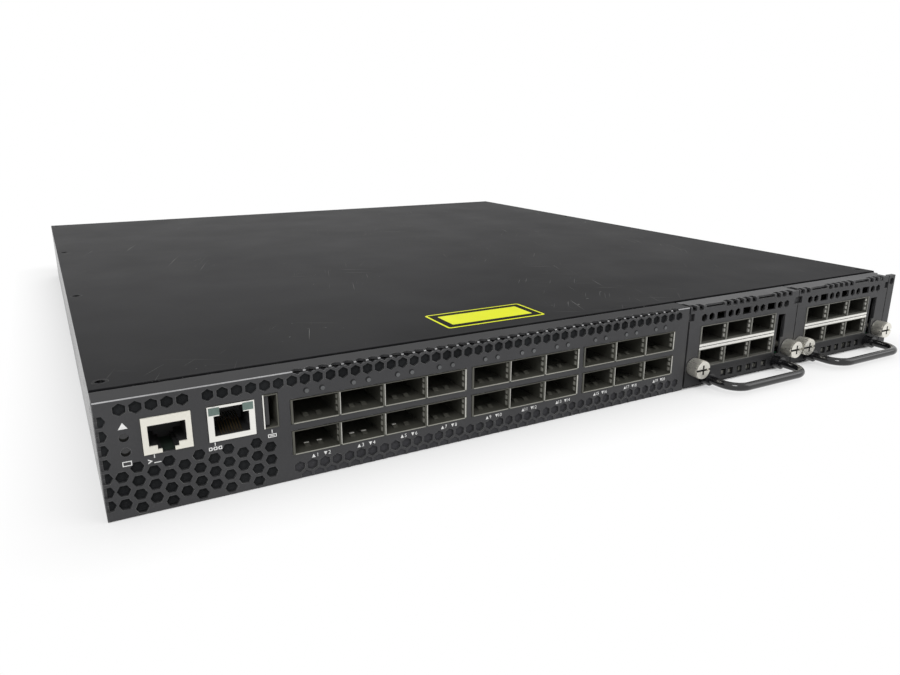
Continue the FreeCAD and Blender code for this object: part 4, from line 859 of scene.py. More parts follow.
def centred(middle: Point, half: Point) -> tuple[Point, Point]:
    """The lowest and highest corner of a rectangle about its middle."""
    return (middle[0] - half[0], middle[1] - half[1]), (middle[0] + half[0], middle[1] + half[1])


def spread(middle: float, pitch: float, count: int) -> list[float]:
    """Evenly spaced places about a middle."""
    return [middle + pitch * (number - (count - 1) / 2) for number in range(count)]


def arc(middle: Point, radius: float, start: float, sweep: float, steps: int) -> list[Point]:
    """Points on an arc, both ends included; angles in radians."""
    angles = [start + sweep * step / steps for step in range(steps + 1)]
    return [(middle[0] + radius * math.cos(turn), middle[1] + radius * math.sin(turn)) for turn in angles]


def disc(middle: Point, radius: float, steps: int = 20) -> list[Point]:
    """The outline of a disc."""
    return arc(middle, radius, 0.0, math.tau, steps)[:-1]


def rounded(low: Point, high: Point, radius: float) -> list[Point]:
    """The outline of a rectangle with round corners.

    Args:
        low: The lowest corner.
        high: The highest corner.
        radius: The corners' radius.

    Returns:
        The outline's points, once round.
    """
    corners = [(high[0], high[1], 0), (low[0], high[1], 1), (low[0], low[1], 2), (high[0], low[1], 3)]
    outline = []
    for x, y, quarter in corners:
        middle = (x - radius if x == high[0] else x + radius, y - radius if y == high[1] else y + radius)
        outline += arc(middle, radius, quarter * math.pi / 2, math.pi / 2, CORNER_STEPS)
    return outline


def frame_bars(low: Point, high: Point, line: float) -> list[list[Point]]:
    """The four bars of an outlined rectangle.

    Args:
        low: The lowest corner.
        high: The highest corner.
        line: The bars' width.

    Returns:
        One outline for each bar.
    """
    return [
        rectangle(low, (high[0], low[1] + line)),
        rectangle((low[0], high[1] - line), high),
        rectangle((low[0], low[1] + line), (low[0] + line, high[1] - line)),
        rectangle((high[0] - line, low[1] + line), (high[0], high[1] - line)),
    ]


@dataclass
class PortCage:
    """Rims, springs, contact pads and places of one block of cage ports. Millimetres."""

    node: str
    body: str
    columns: int
    lip: float = 2.6
    wall_springs: bool = False
    highlight_columns: float = 0.0
    sill: float = 0.45
    edge: float = 0.36
    end_edge: float = 0.65
    port_height: float = 9.0
    half_walls: tuple[float, float, float] = (0.4, 0.5, 0.8)
    rim: float = 0.3
    floors: tuple[float, float] = (10.9, 23.4)
    spring_half: float = 1.0
    spring_shift: float = 2.6
    spring_path: tuple[Point, ...] = ((4.2, 0.05), (6.0, 0.8), (6.6, 0.8), (8.8, 0.05))
    spring_sheet: float = 0.2
    port_half: float = 8.8
    bump_heights: tuple[float, ...] = (2.0, 4.7, 7.2)
    bump_half: float = 0.8
    bump_run: tuple[float, float] = (0.7, 2.3)
    deep_run: tuple[float, float] = (0.8, 2.7)
    bump_proud: float = 0.35
    plug_front: float = 33.0
    plug_height: float = 4.5
    pad_count: int = 10
    pad_pitch: float = 1.3
    pad_half: float = 0.3
    pad_run: float = 7.0

    def middles(self) -> list[float]:
        """The X place of each column's middle.

        Returns:
            One place for each column, from the left.
        """
        low, high = box_mm(self.node)
        pitch = (high.x - low.x - self.rim * 2) / self.columns
        return [low.x + self.rim + pitch * (column + 0.5) for column in range(self.columns)]

    def finish(self) -> Finish:
        """Steel in painted shade, or on blocks that slide out, steel with deep painted shade inside and
        lighter painted shade at the mouths.

        Returns:
            The finish.
        """
        if not self.wall_springs:
            return SHADED_STEEL
        low, high = box_mm(self.node)
        half = Vector(self.half_walls)
        shell = ZonedFinish(
            f"{self.node}_shell", CAGE_STEEL.colour, CAGE_STEEL.roughness, outside=CAGE_STEEL,
            inside=DEEP_SHADE_STEEL, low=tuple(low + half), high=tuple(high - half),
        )
        return ZonedFinish(
            f"{self.node}_finish", CAGE_STEEL.colour, CAGE_STEEL.roughness, outside=shell, inside=DIM_STEEL,
            low=(low.x - MARGIN, low.y - MARGIN, low.z - MARGIN),
            high=(high.x + MARGIN, low.y + self.lip, high.z + MARGIN), relief=CAGE_STEEL.relief,
        )

    def spring_finish(self) -> Finish:
        """Wall springs in plain steel; floor springs in painted shade, with a painted highlight on the tips
        in the first columns.

        Returns:
            The finish.
        """
        if self.wall_springs:
            return LIP_STEEL
        low, high = box_mm(self.node)
        if not self.highlight_columns:
            return SHADED_STEEL
        tip = self.floors[0] + max(z for _, z in self.spring_path)
        reach = low.x + self.highlight_columns * (high.x - low.x) / self.columns
        return ZonedFinish(
            f"{self.node}_spring_finish", SHADED_STEEL.colour, SHADED_STEEL.roughness, outside=SHADED_STEEL,
            inside=TIP_HIGHLIGHT_STEEL, low=(low.x, low.y, tip + self.spring_sheet / 2),
            high=(reach, high.y, tip + self.spring_sheet * 2), relief=SHADED_STEEL.relief,
        )

    def rims(self) -> None:
        """Makes the dim sills and the bright upright edges of the fixed ports' mouths."""
        low, high = box_mm(self.node)
        face = -low.y
        sills = Sketch()
        edges = Sketch()
        middles = self.middles()
        for middle in middles:
            left = middle - self.port_half
            right = middle + self.port_half
            for floor in self.floors:
                top = floor + self.port_height
                sills.slab(rectangle((left, floor - self.sill), (right, floor)), Plane.FRONT, face, HAIR)
                if middle != middles[0]:
                    edges.slab(rectangle((left - self.edge, floor), (left, top)), Plane.FRONT, face, HAIR)
                if middle == middles[-1]:
                    end = min(right + self.end_edge, high.x)
                    edges.slab(rectangle((right, floor), (end, top)), Plane.FRONT, face, HAIR)
        sills.piece(f"{self.node}_sills", self.body, SILL_STEEL)
        edges.piece(f"{self.node}_edges", self.body, LIP_STEEL)

    def build(self) -> None:
        """Makes the rims, the springs and the gold pads of every port."""
        if not self.wall_springs:
            self.rims()
        mouth = box_mm(self.node)[0].y
        springs = Sketch()
        fingers = Sketch()
        pads = Sketch()
        for middle in self.middles():
            for floor in self.floors:
                if self.wall_springs:
                    self.wall_bumps(springs, middle + self.port_half, mouth, floor, self.bump_run)
                else:
                    self.floor_springs(springs, middle, mouth, floor)
                    self.wall_bumps(fingers, middle + self.port_half, mouth, floor, self.deep_run)
                y = mouth + self.plug_front
                z = floor + self.plug_height
                for x in spread(middle, self.pad_pitch, self.pad_count):
                    low = Vector((x - self.pad_half, y, z))
                    pads.bar(low, Vector((x + self.pad_half, y + self.pad_run, z + HAIR)))
        springs.piece(f"{self.node}_springs", self.body, self.spring_finish())
        if not self.wall_springs:
            fingers.piece(f"{self.node}_fingers", self.body, SILL_STEEL)
        pads.piece(f"{self.node}_pads", self.body, GOLD)

    def floor_springs(self, springs: Sketch, middle: float, mouth: float, floor: float) -> None:
        """Adds the two bent fingers on a port's floor.

        Args:
            springs: The piece that gathers the springs.
            middle: The X of the port's middle.
            mouth: The Y of its mouth.
            floor: The Z of its floor.
        """
        path = [(mouth + y, floor + z) for y, z in self.spring_path]
        for x in (middle - self.spring_shift, middle + self.spring_shift):
            springs.strip(path, x - self.spring_half, x + self.spring_half, self.spring_sheet)

    def wall_bumps(self, springs: Sketch, wall: float, mouth: float, floor: float, run: Point) -> None:
        """Adds the row of pressed fingers on a port's right wall, near its mouth.

        Args:
            springs: The piece that gathers the fingers.
            wall: The X of the wall.
            mouth: The Y of the port's mouth.
            floor: The Z of its floor.
            run: Where the fingers start and end behind the mouth.
        """
        first, last = (mouth + y for y in run)
        for height in self.bump_heights:
            low = floor + height - self.bump_half
            high = floor + height + self.bump_half
            slope = [(wall, first), (wall - self.bump_proud, (first + last) / 2), (wall, last)]
            springs.slab(slope, Plane.TOP, low, high - low)


@dataclass
class FrontPrint:
    """White marks on the fixed front panel: port numbers with triangles, ticks and plain signs."""

    cages: list[PortCage]
    body: str = "chassis"
    number_z: float = 8.5
    number_height: float = 1.5
    triangle_half: float = 0.72
    upper_shift: float = -0.9
    lower_shift: float = 3.9
    sign_gap: float = 1.6
    lamp_z: float = 35.2
    lamp_shift: float = 3.1
    lamp_radius: float = 0.85
    shade_radius: float = 1.15
    shade_shift: float = 0.35
    lamp_steps: int = 14
    tick_half: float = 0.16
    tick_run: float = 1.3
    tick_gap: float = 0.35
    console_inset: float = 3.2
    manager_inset: float = 1.9
    sign_drop: float = 2.7
    sign_line: float = 0.3
    serial_lift: float = 0.6
    prompt_left: float = 2.2
    prompt_half: float = 0.9
    prompt_stroke: float = 0.4
    prompt_notch: float = 0.8
    prompt_tip: float = 1.5
    dash_start: float = 1.9
    dash_run: float = 2.3
    box_pitch: float = 1.7
    box_half: Point = (0.6, 0.65)
    link_half: float = 0.25
    plug_half: Point = (1.6, 0.7)
    plug_bar: float = 0.9
    alarm_rise: float = 1.8
    alarm_half: float = 1.5
    alarm_base: float = 1.0
    alarm_tip: float = 1.3
    system_drop: float = 1.9
    system_half: Point = (1.5, 0.9)

    def build(self) -> None:
        """Prints the port numbers, the ticks and signs, and sets the port lamps in, each on a dark disc of
        painted shade for its hole.
        """
        face = -box_mm("front_panel")[0].y
        ink = Sketch()
        lamps = Sketch()
        rims = Sketch()
        number = 1
        for cage in self.cages:
            for middle in cage.middles():
                self.mark(ink, middle + self.upper_shift, str(number), upward=True, face=face)
                self.mark(ink, middle + self.lower_shift, str(number + 1), upward=False, face=face)
                for shift in (-self.lamp_shift, self.lamp_shift):
                    x = middle + shift
                    # A dark disc up and to the left of each lamp is painted shade for the lamp's hole.
                    rim = (x - self.shade_shift, self.lamp_z + self.shade_shift)
                    lamp = disc((x, self.lamp_z), self.lamp_radius, self.lamp_steps)
                    rims.slab(disc(rim, self.shade_radius, self.lamp_steps), Plane.FRONT, face, HAIR)
                    lamps.slab(lamp, Plane.FRONT, face, HAIR * 2)
                number += 2
        for outline in self.signs():
            ink.slab(outline, Plane.FRONT, face, HAIR)
        ink.piece("front_print", self.body, WHITE_INK)
        lamps.piece("port_lamps", self.body, GREY_LENS)
        rims.piece("port_lamp_shades", self.body, SHADE_PAINT)

    def mark(self, ink: Sketch, x: float, text: str, upward: bool, face: float) -> None:
        """Prints a triangle that points to its row, and the port's number.

        Args:
            ink: The print.
            x: The mark's middle.
            text: The number.
            upward: Whether the triangle points to the upper row.
            face: How far out the panel's face lies.
        """
        half = self.triangle_half
        tip = half if upward else -half
        left = x - self.sign_gap + half
        base = self.number_z - tip
        outline = [(left - half, base), (left + half, base), (left, self.number_z + tip)]
        ink.slab(outline, Plane.FRONT, face, HAIR)
        ink.digits(text, (x + half, self.number_z), self.number_height, Plane.FRONT, face)

    def signs(self) -> list[list[Point]]:
        """A tick and a plain sign at each socket, and a sign at each lamp.

        Returns:
            The outlines to print.
        """
        console = box_mm("console_jack")[0]
        manager = box_mm("management_jack")[0]
        serial_low, serial_high = box_mm("usb_socket")
        lamp_low, lamp_high = box_mm("status_lamps")
        console_x = console.x + self.console_inset
        manager_x = manager.x + self.manager_inset
        serial_x = (serial_low.x + serial_high.x) / 2
        serial_z = serial_low.z + self.serial_lift
        lamp_x = (lamp_low.x + lamp_high.x) / 2
        return [
            self.tick(console_x, console.z),
            self.tick(manager_x, manager.z),
            self.tick(serial_x, serial_z),
            *self.prompt_sign(console_x, console.z - self.sign_drop),
            *self.network_sign(manager_x, console.z - self.sign_drop),
            *self.plug_sign(serial_x, serial_z - self.sign_drop),
            self.alarm_sign(lamp_x, lamp_high.z + self.alarm_rise),
            *frame_bars(*centred((lamp_x, lamp_low.z - self.system_drop), self.system_half), self.sign_line),
        ]

    def tick(self, x: float, low: float) -> list[Point]:
        """The short upright line under a socket."""
        top = low - self.tick_gap
        return rectangle((x - self.tick_half, top - self.tick_run), (x + self.tick_half, top))

    def prompt_sign(self, x: float, z: float) -> list[list[Point]]:
        """An arrowhead and a dash, for the console.

        Args:
            x: The sign's place across.
            z: Its middle height.

        Returns:
            The outlines of both.
        """
        left = x - self.prompt_left
        low = z - self.prompt_half
        arrow = [
            (left, z + self.prompt_half), (left, z + self.prompt_stroke), (left + self.prompt_notch, z),
            (left, z - self.prompt_stroke), (left, low), (left + self.prompt_tip, z),
        ]
        start = left + self.dash_start
        return [arrow, rectangle((start, low), (start + self.dash_run, low + self.sign_line))]

    def network_sign(self, x: float, z: float) -> list[list[Point]]:
        """Three linked boxes, for the management network.

        Args:
            x: The sign's middle.
            z: Its middle height.

        Returns:
            The outlines of the boxes' bars and of the links.
        """
        shapes = []
        for shift in (-self.box_pitch, 0.0, self.box_pitch):
            shapes += frame_bars(*centred((x + shift, z), self.box_half), self.sign_line)
        for shift in (-self.box_pitch / 2, self.box_pitch / 2):
            shapes.append(rectangle(*centred((x + shift, z), (self.link_half, self.sign_line / 2))))
        return shapes

    def plug_sign(self, x: float, z: float) -> list[list[Point]]:
        """A plug seen from its end, for the upright socket."""
        tongue = rectangle(*centred((x, z), (self.plug_bar, self.sign_line / 2)))
        return [*frame_bars(*centred((x, z), self.plug_half), self.sign_line), tongue]

    def alarm_sign(self, x: float, z: float) -> list[Point]:
        """A triangle, for the upper lamp."""
        base = z - self.alarm_base
        return [(x - self.alarm_half, base), (x + self.alarm_half, base), (x, z + self.alarm_tip)]


@dataclass
class ModularJack:
    """Contact wires and finish of one jack. Millimetres."""

    node: str
    hole_low: float
    contacts_above: bool
    contact_finish: Finish = GOLD
    body: str = "chassis"
    hole_height: float = 7.6
    hole_depth: float = 14.0
    face_depth: float = 0.65
    count: int = 8
    pitch: float = 1.02
    wire_half: float = 0.2
    wire_sheet: float = 0.25
    bends: tuple[float, float, float] = (1.6, 3.0, 9.5)
    reach: float = 3.0
    face_specular: float = 0.4
    face_relief: float = 0.004

    def finish(self, outside: Finish) -> Finish:
        """The finish of the jack's face, with black behind it, which on the cream console jack is painted
        shade in the hole.

        Args:
            outside: The finish of the face.

        Returns:
            The finish.
        """
        low, high = box_mm(self.node)
        return ZonedFinish(
            f"{self.node}_finish", outside.colour, outside.roughness, specular=self.face_specular,
            outside=outside, inside=BLACK_PLASTIC,
            low=(low.x - MARGIN, low.y + self.face_depth, low.z - MARGIN),
            high=(high.x + MARGIN, high.y + MARGIN, high.z + MARGIN), relief=self.face_relief,
        )

    def build(self) -> None:
        """Makes the eight contact wires."""
        low, high = box_mm(self.node)
        middle = (low.x + high.x) / 2
        floor = low.z + self.hole_low
        level = floor + HAIR
        slope = self.reach
        if self.contacts_above:
            level = floor + self.hole_height - self.wire_sheet - HAIR
            slope = -self.reach
        start, bend, end = (low.y + y for y in self.bends)
        back = low.y + self.hole_depth
        path = [(start, level), (bend, level), (end, level + slope), (back, level + slope)]
        wires = Sketch()
        for x in spread(middle, self.pitch, self.count):
            wires.strip(path, x - self.wire_half, x + self.wire_half, self.wire_sheet)
        wires.piece(f"{self.node}_contacts", self.body, self.contact_finish)


@dataclass
class ManagementLamps:
    """Two link lamps in the upper corners of the shielded jack, with the shield's folded tabs."""

    node: str = "management_jack"
    body: str = "chassis"
    lamp_width: float = 3.8
    lamp_height: float = 2.9
    inset: float = 0.45
    proud: float = 0.1
    tab_half: float = 0.6
    bevel: float = 0.08

    def build(self) -> None:
        """Makes the lamps and the tabs."""
        low, high = box_mm(self.node)
        face = -low.y
        lamps = Sketch()
        tabs = Sketch()
        top = high.z - self.inset
        for edge in (low.x + self.inset, high.x - self.inset - self.lamp_width):
            outline = rectangle((edge, top - self.lamp_height), (edge + self.lamp_width, top))
            lamps.slab(outline, Plane.FRONT, face, self.proud)
            x = edge + self.lamp_width / 2
            tab = rectangle((x - self.tab_half, top), (x + self.tab_half, high.z))
            tabs.slab(tab, Plane.FRONT, face, self.proud)
        lamps.piece("management_lamps", self.body, GREEN_LENS, bevel=self.bevel)
        tabs.piece("management_tabs", self.body, CAGE_STEEL)


@dataclass
class SerialSocket:
    """Contacts and finish of the upright serial socket. Millimetres."""

    node: str = "usb_socket"
    body: str = "chassis"
    wall: float = 0.5
    tongue: float = 1.8
    count: int = 4
    pitch: float = 2.3
    pad_half: float = 0.5
    pad_start: float = 2.0
    pad_run: float = 7.0
    pads_down: float = 6.6
    slack: float = 0.06
    relief: float = 0.004

    def finish(self) -> Finish:
        """A shell in bright steel on its left edge and in painted shade elsewhere, with a black tongue.

        Returns:
            The finish.
        """
        low, high = box_mm(self.node)
        edge = low.x + self.wall - self.slack
        shell = ZonedFinish(
            "serial_shell_finish", CAGE_STEEL.colour, CAGE_STEEL.roughness, outside=BRIGHT_STEEL,
            inside=SHADED_STEEL, low=(edge, low.y - MARGIN, low.z - MARGIN),
            high=(high.x + MARGIN, high.y + MARGIN, high.z + MARGIN),
        )
        return ZonedFinish(
            "serial_socket_finish", CAGE_STEEL.colour, CAGE_STEEL.roughness, outside=shell,
            inside=BLACK_PLASTIC, low=(edge, low.y + self.wall, low.z + self.wall),
            high=(edge + self.tongue + self.slack * 2, high.y, high.z - self.wall), relief=self.relief,
        )

    def build(self) -> None:
        """Makes the four contacts."""
        low, high = box_mm(self.node)
        x = low.x + self.wall + self.tongue
        start = low.y + self.pad_start
        pads = Sketch()
        for z in spread(high.z - self.pads_down, self.pitch, self.count):
            low_corner = Vector((x, start, z - self.pad_half))
            pads.bar(low_corner, Vector((x + HAIR * 2, start + self.pad_run, z + self.pad_half)))
        pads.piece("serial_socket_pads", self.body, GOLD)


@dataclass
class VentLining:
    """Foam behind the left vents, dark as painted shade for the vent holes, and a folded strip behind the low
    row of vents with a seal that closes the bottom notches as painted shade. Millimetres.
    """

    panel: str = "front_panel"
    body: str = "chassis"
    sheet: float = 1.0
    slack: float = 0.06
    foam: float = 0.6
    foam_low: float = 1.3
    foam_high: float = 42.3
    top_low: float = 37.5
    clear: float = 0.5
    strip_high: float = 8.2
    strip_foot: float = 1.85
    strip_sheet: float = 0.3
    seal_back: float = 0.45
    seal_low: float = 0.1
    seal_high: float = 2.7
    bevel: float = 0.1

    def build(self) -> None:
        """Makes the foam, cut out round the jacks and lamps, and the strip."""
        low, high = box_mm(self.panel)
        lamps = box_mm("status_lamps")[0]
        jack = box_mm("console_jack")[0]
        serial = box_mm("usb_socket")[1]
        first = low.x + self.sheet + self.slack
        last = serial.x + self.clear
        step = min(lamps.z, jack.z) - self.clear
        side = lamps.x - self.clear
        end = high.x - self.sheet - self.clear
        outline = [
            (first, self.foam_low), (last, self.foam_low), (last, step), (side, step), (side, self.top_low),
            (end, self.top_low), (end, self.foam_high), (first, self.foam_high),
        ]
        back = low.y + self.sheet + self.slack
        foam = Sketch()
        foam.slab(outline, Plane.FRONT, -back - self.foam, self.foam)
        foam.piece("vent_foam_shade", self.body, VENT_FOAM_SHADE, bevel=self.bevel)
        floor = low.z + self.sheet + self.slack
        thick = self.strip_sheet
        fold = [
            (back, floor), (back + self.strip_foot, floor), (back + self.strip_foot, floor + thick),
            (back + thick, floor + thick), (back + thick, self.strip_high), (back, self.strip_high),
        ]
        run = (last + self.clear, end - last - self.clear)
        strip = Sketch()
        strip.slab(fold, Plane.RIGHT, *run)
        # The seal closes the notches of the bottom flange; its paint stands in for the shade on the floor
        # beneath them.
        front = low.y + self.seal_back
        base = low.z + self.seal_low
        seal = [
            (front, base), (back + self.strip_foot, base), (back + self.strip_foot, base + thick),
            (front + thick, base + thick), (front + thick, self.seal_high), (front, self.seal_high),
        ]
        strip.slab(seal, Plane.RIGHT, *run)
        strip.piece("vent_strip", self.body, SILL_PAINT, bevel=self.bevel)


@dataclass
class LampShades:
    """Painted shade on the lower halves of the two status lamps, which are set back in their holes.
    Millimetres, half turns.
    """

    node: str = "status_lamps"
    body: str = "chassis"
    seat: float = 2.3
    radius: float = 1.48
    lift: float = 0.85
    reach: float = 1.5
    outer_start: float = 1.06
    outer_sweep: float = 0.88
    inner_start: float = 1.80
    inner_sweep: float = -0.60
    steps: int = 14

    def build(self) -> None:
        """Makes one moon-shaped patch of painted shade on each lens."""
        low, high = box_mm(self.node)
        x = (low.x + high.x) / 2
        shades = Sketch()
        for z in (low.z + self.seat, high.z - self.seat):
            start, sweep = self.outer_start * math.pi, self.outer_sweep * math.pi
            outer = arc((x, z), self.radius, start, sweep, self.steps)
            start, sweep = self.inner_start * math.pi, self.inner_sweep * math.pi
            inner = arc((x, z + self.lift), self.reach, start, sweep, self.steps)
            shades.slab([*outer, *inner], Plane.FRONT, -low.y, HAIR)
        shades.piece("status_lamp_shades", self.body, BLACK_PRINT_AND_SHADE)


@dataclass
class FrontFold:
    """The painted highlight on the bend between the front panel's face and its top flange. Millimetres."""

    node: str = "front_panel"
    line: float = 0.45
    slack: float = 0.1

    def finish(self) -> Finish:
        """Panel paint, with painted shade on the flange and a painted highlight on the bend.

        Returns:
            The finish.
        """
        low, high = box_mm(self.node)
        panel = ZonedFinish(
            f"{self.node}_paint", PANEL_PAINT.colour, PANEL_PAINT.roughness, outside=PANEL_PAINT,
            inside=FLANGE_SHADE_PAINT, low=(low.x - MARGIN, low.y + self.line, high.z - self.slack),
            high=(high.x + MARGIN, high.y + MARGIN, high.z + MARGIN),
        )
        return ZonedFinish(
            f"{self.node}_finish", PANEL_PAINT.colour, PANEL_PAINT.roughness, specular=PANEL_PAINT.specular,
            outside=panel, inside=FOLD_HIGHLIGHT, low=(low.x - MARGIN, low.y - self.slack, high.z - self.line),
            high=(high.x + MARGIN, low.y + self.line, high.z + self.slack), relief=PANEL_PAINT.relief,
        )


@dataclass
class LidLabel:
    """Blank yellow film with a black band inside its edge. Millimetres from the front left corner."""

    body: str = "chassis"
    left: float = 144.8
    back: float = 23.0
    width: float = 52.6
    depth: float = 24.3
    edge: float = 1.15
    band: float = 3.5
    corner: float = 1.6

    def build(self) -> None:
        """Makes the film, the band printed on it and the field inside the band."""
        panel = box_mm("front_panel")[0]
        top = box_mm("top_cover")[1].z
        layers = (
            ("lid_label_film", YELLOW_FILM, 0.0),
            ("lid_label_band", BLACK_PRINT_AND_SHADE, self.edge),
            ("lid_label_field", YELLOW_FILM, self.edge + self.band),
        )
        for level, (name, finish, inset) in enumerate(layers, start=1):
            low = (panel.x + self.left + inset, panel.y + self.back + inset)
            high = (low[0] + self.width - inset * 2, low[1] + self.depth - inset * 2)
            layer = Sketch()
            layer.slab(rounded(low, high, self.corner / level), Plane.TOP, top, HAIR * level)
            layer.piece(name, self.body, finish)


@dataclass
class LidScrews:
    """Countersunk screws with a cross recess, in place of the plain ones."""

    node: str = "cover_screws"
    body: str = "chassis"
    inset: float = 2.8
    head: float = 2.8
    shank: float = 1.5
    head_depth: float = 1.0
    arm: float = 1.75
    slot: float = 0.42
    recess: float = 0.7
    rows: int = 4
    steps: int = 32

    def build(self) -> None:
        """Makes all screws as one piece that stands for the node."""
        low, high = box_mm(self.node)
        screws = Sketch()
        span = high.y - low.y - self.inset * 2
        for x in (low.x + self.inset, high.x - self.inset):
            for row in range(self.rows):
                y = low.y + self.inset + span * row / (self.rows - 1)
                self.screw(screws, Vector((x, y, high.z)), low.z)
        made = screws.piece("cover_screws_crossed", self.body, SCREW_BLACK, smooth=True)
        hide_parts(self.node)

    def screw(self, sketch: Sketch, top: Vector, end: float) -> None:
        """Adds one screw.

        Args:
            sketch: The piece that gathers the screws.
            top: The middle of its head's top.
            end: The height of its lower end.
        """
        faces = sketch.faces
        edge = disc((0.0, 0.0), self.head, self.steps)
        rim = [faces.verts.new(top + Vector((*point, 0.0))) for point in edge]
        cross = [faces.verts.new(top + Vector((*point, 0.0))) for point in self.cross()]
        loops = []
        for ring in (rim, cross):
            for first, second in zip(ring, ring[1:] + ring[:1]):
                loops.append(faces.edges.new((first, second)))
        bmesh.ops.triangle_fill(faces, use_beauty=True, edges=loops)
        inner = [face for face in faces.faces if all(vertex in cross for vertex in face.verts)]
        bmesh.ops.delete(faces, geom=inner, context="FACES_ONLY")
        floor = [faces.verts.new(vertex.co - Vector((0.0, 0.0, self.recess))) for vertex in cross]
        self.wall(faces, cross, floor)
        faces.faces.new(floor)
        ring = rim
        for radius, z in ((self.shank, top.z - self.head_depth), (self.shank, end)):
            points = disc((top.x, top.y), radius, self.steps)
            lower = [faces.verts.new(Vector((*point, z))) for point in points]
            self.wall(faces, ring, lower)
            ring = lower
        faces.faces.new(ring)

    def cross(self) -> list[Point]:
        """The outline of the cross recess.

        Returns:
            Its points about the screw's middle, once round.
        """
        arm, slot = self.arm, self.slot
        right = [(slot, arm), (slot, slot), (arm, slot), (arm, -slot), (slot, -slot), (slot, -arm)]
        return right + [(-x, -y) for x, y in right]

    def wall(self, faces: bmesh.types.BMesh, upper: list, lower: list) -> None:
        """Joins two rings of points by a wall.

        Args:
            faces: The mesh.
            upper: The points of one ring.
            lower: As many points of the other.
        """
        for step in range(len(upper)):
            after = (step + 1) % len(upper)
            faces.faces.new((upper[step], upper[after], lower[after], lower[step]))


@dataclass
class KnurledScrew:
    """Ridges round the head of a captive screw, and painted shade in its cross recess. Millimetres."""

    node: str
    radius: float
    length: float
    toward_front: bool
    ridges: int = 44
    proud: float = 0.14
    plain: float = 0.8
    neck: float = 1.2
    arm_part: float = 0.56
    slot_part: float = 0.8
    recess: float = 2.3
    rim: float = 0.1
    sunk: float = 0.05

    def finish(self) -> Finish:
        """Nickel plate, with painted shade inside the recess.

        Returns:
            The finish.
        """
        low, high = box_mm(self.node)
        middle = (low + high) / 2
        across = self.radius * self.slot_part
        upward = self.radius * self.arm_part
        first, last = low.y + self.rim, low.y + self.recess
        if not self.toward_front:
            first, last = high.y - self.recess, high.y - self.rim
        return ZonedFinish(
            f"{self.node}_finish", NICKEL.colour, NICKEL.roughness, outside=NICKEL, inside=DEEP_SHADE_STEEL,
            low=(middle.x - across, first, middle.z - upward),
            high=(middle.x + across, last, middle.z + upward), relief=NICKEL.relief,
        )

    def build(self) -> None:
        """Makes the ridges as one piece on the screw's own body."""
        low, high = box_mm(self.node)
        x = (low.x + high.x) / 2
        z = (low.z + high.z) / 2
        start = low.y + self.plain if self.toward_front else high.y - self.length + self.neck
        run = self.length - self.plain - self.neck
        ridges = Sketch()
        half = math.pi / self.ridges
        foot = self.radius - self.sunk
        tip = self.radius + self.proud
        for number in range(self.ridges):
            angle = math.tau * number / self.ridges
            outline = [
                (x + foot * math.cos(angle - half), z + foot * math.sin(angle - half)),
                (x + tip * math.cos(angle), z + tip * math.sin(angle)),
                (x + foot * math.cos(angle + half), z + foot * math.sin(angle + half)),
            ]
            ridges.slab(outline, Plane.FRONT, -start - run, run)
        ridges.piece(f"{self.node}_knurl", self.node, NICKEL)


@dataclass
class ModuleTrim:
    """Bright strips and fingers on the face of a plug-in port module. Millimetres."""

    name: str
    strip_low: float = 20.1
    strip_high: float = 23.2
    strip_proud: float = 0.3
    strip_bevel: float = 0.1
    groove: float = 0.35
    finger_z: float = 3.1
    finger_high: float = 5.6
    finger_first: float = 26.4
    finger_pitch: float = 2.6
    finger_half: float = 0.9
    finger_count: int = 14
    finger_back: float = 1.25
    finger_sheet: float = 0.2
    shade_high: float = 9.9
    shade_deep: float = 1.1

    def finish(self) -> Finish:
        """Panel paint, with painted shade in the band below the ports.

        Returns:
            The finish.
        """
        low, high = box_mm(f"{self.name}_carrier")
        return ZonedFinish(
            f"{self.name}_finish", PANEL_PAINT.colour, PANEL_PAINT.roughness, specular=PANEL_PAINT.specular,
            outside=PANEL_PAINT, inside=SHADE_PAINT,
            low=(low.x - MARGIN, low.y - MARGIN, low.z - MARGIN),
            high=(high.x + MARGIN, low.y + self.shade_deep, self.shade_high), relief=PANEL_PAINT.relief,
        )

    def cage(self) -> PortCage:
        """The module's block of ports."""
        return PortCage(f"{self.name}_cage", self.name, columns=3, wall_springs=True)

    def build(self) -> None:
        """Makes the double strip between the rows and the fingers behind the low vents."""
        self.cage().build()
        low, high = box_mm(f"{self.name}_cage")
        face_low = box_mm(f"{self.name}_carrier")[0]
        face = -face_low.y
        strips = Sketch()
        middle = (self.strip_low + self.strip_high) / 2
        bands = ((self.strip_low, middle - self.groove / 2), (middle + self.groove / 2, self.strip_high))
        for low_z, high_z in bands:
            outline = rectangle((low.x, low_z), (high.x, high_z))
            strips.slab(outline, Plane.FRONT, face, self.strip_proud)
        strips.piece(f"{self.name}_strips", self.name, BRIGHT_STEEL, bevel=self.strip_bevel)
        fingers = Sketch()
        back = face - self.finger_back - self.finger_sheet
        for number in range(self.finger_count):
            x = face_low.x + self.finger_first + self.finger_pitch * number
            low_corner = (x - self.finger_half, self.finger_z)
            outline = rectangle(low_corner, (x + self.finger_half, self.finger_high))
            fingers.slab(outline, Plane.FRONT, back, self.finger_sheet)
        fingers.piece(f"{self.name}_fingers", self.name, DIM_STEEL)


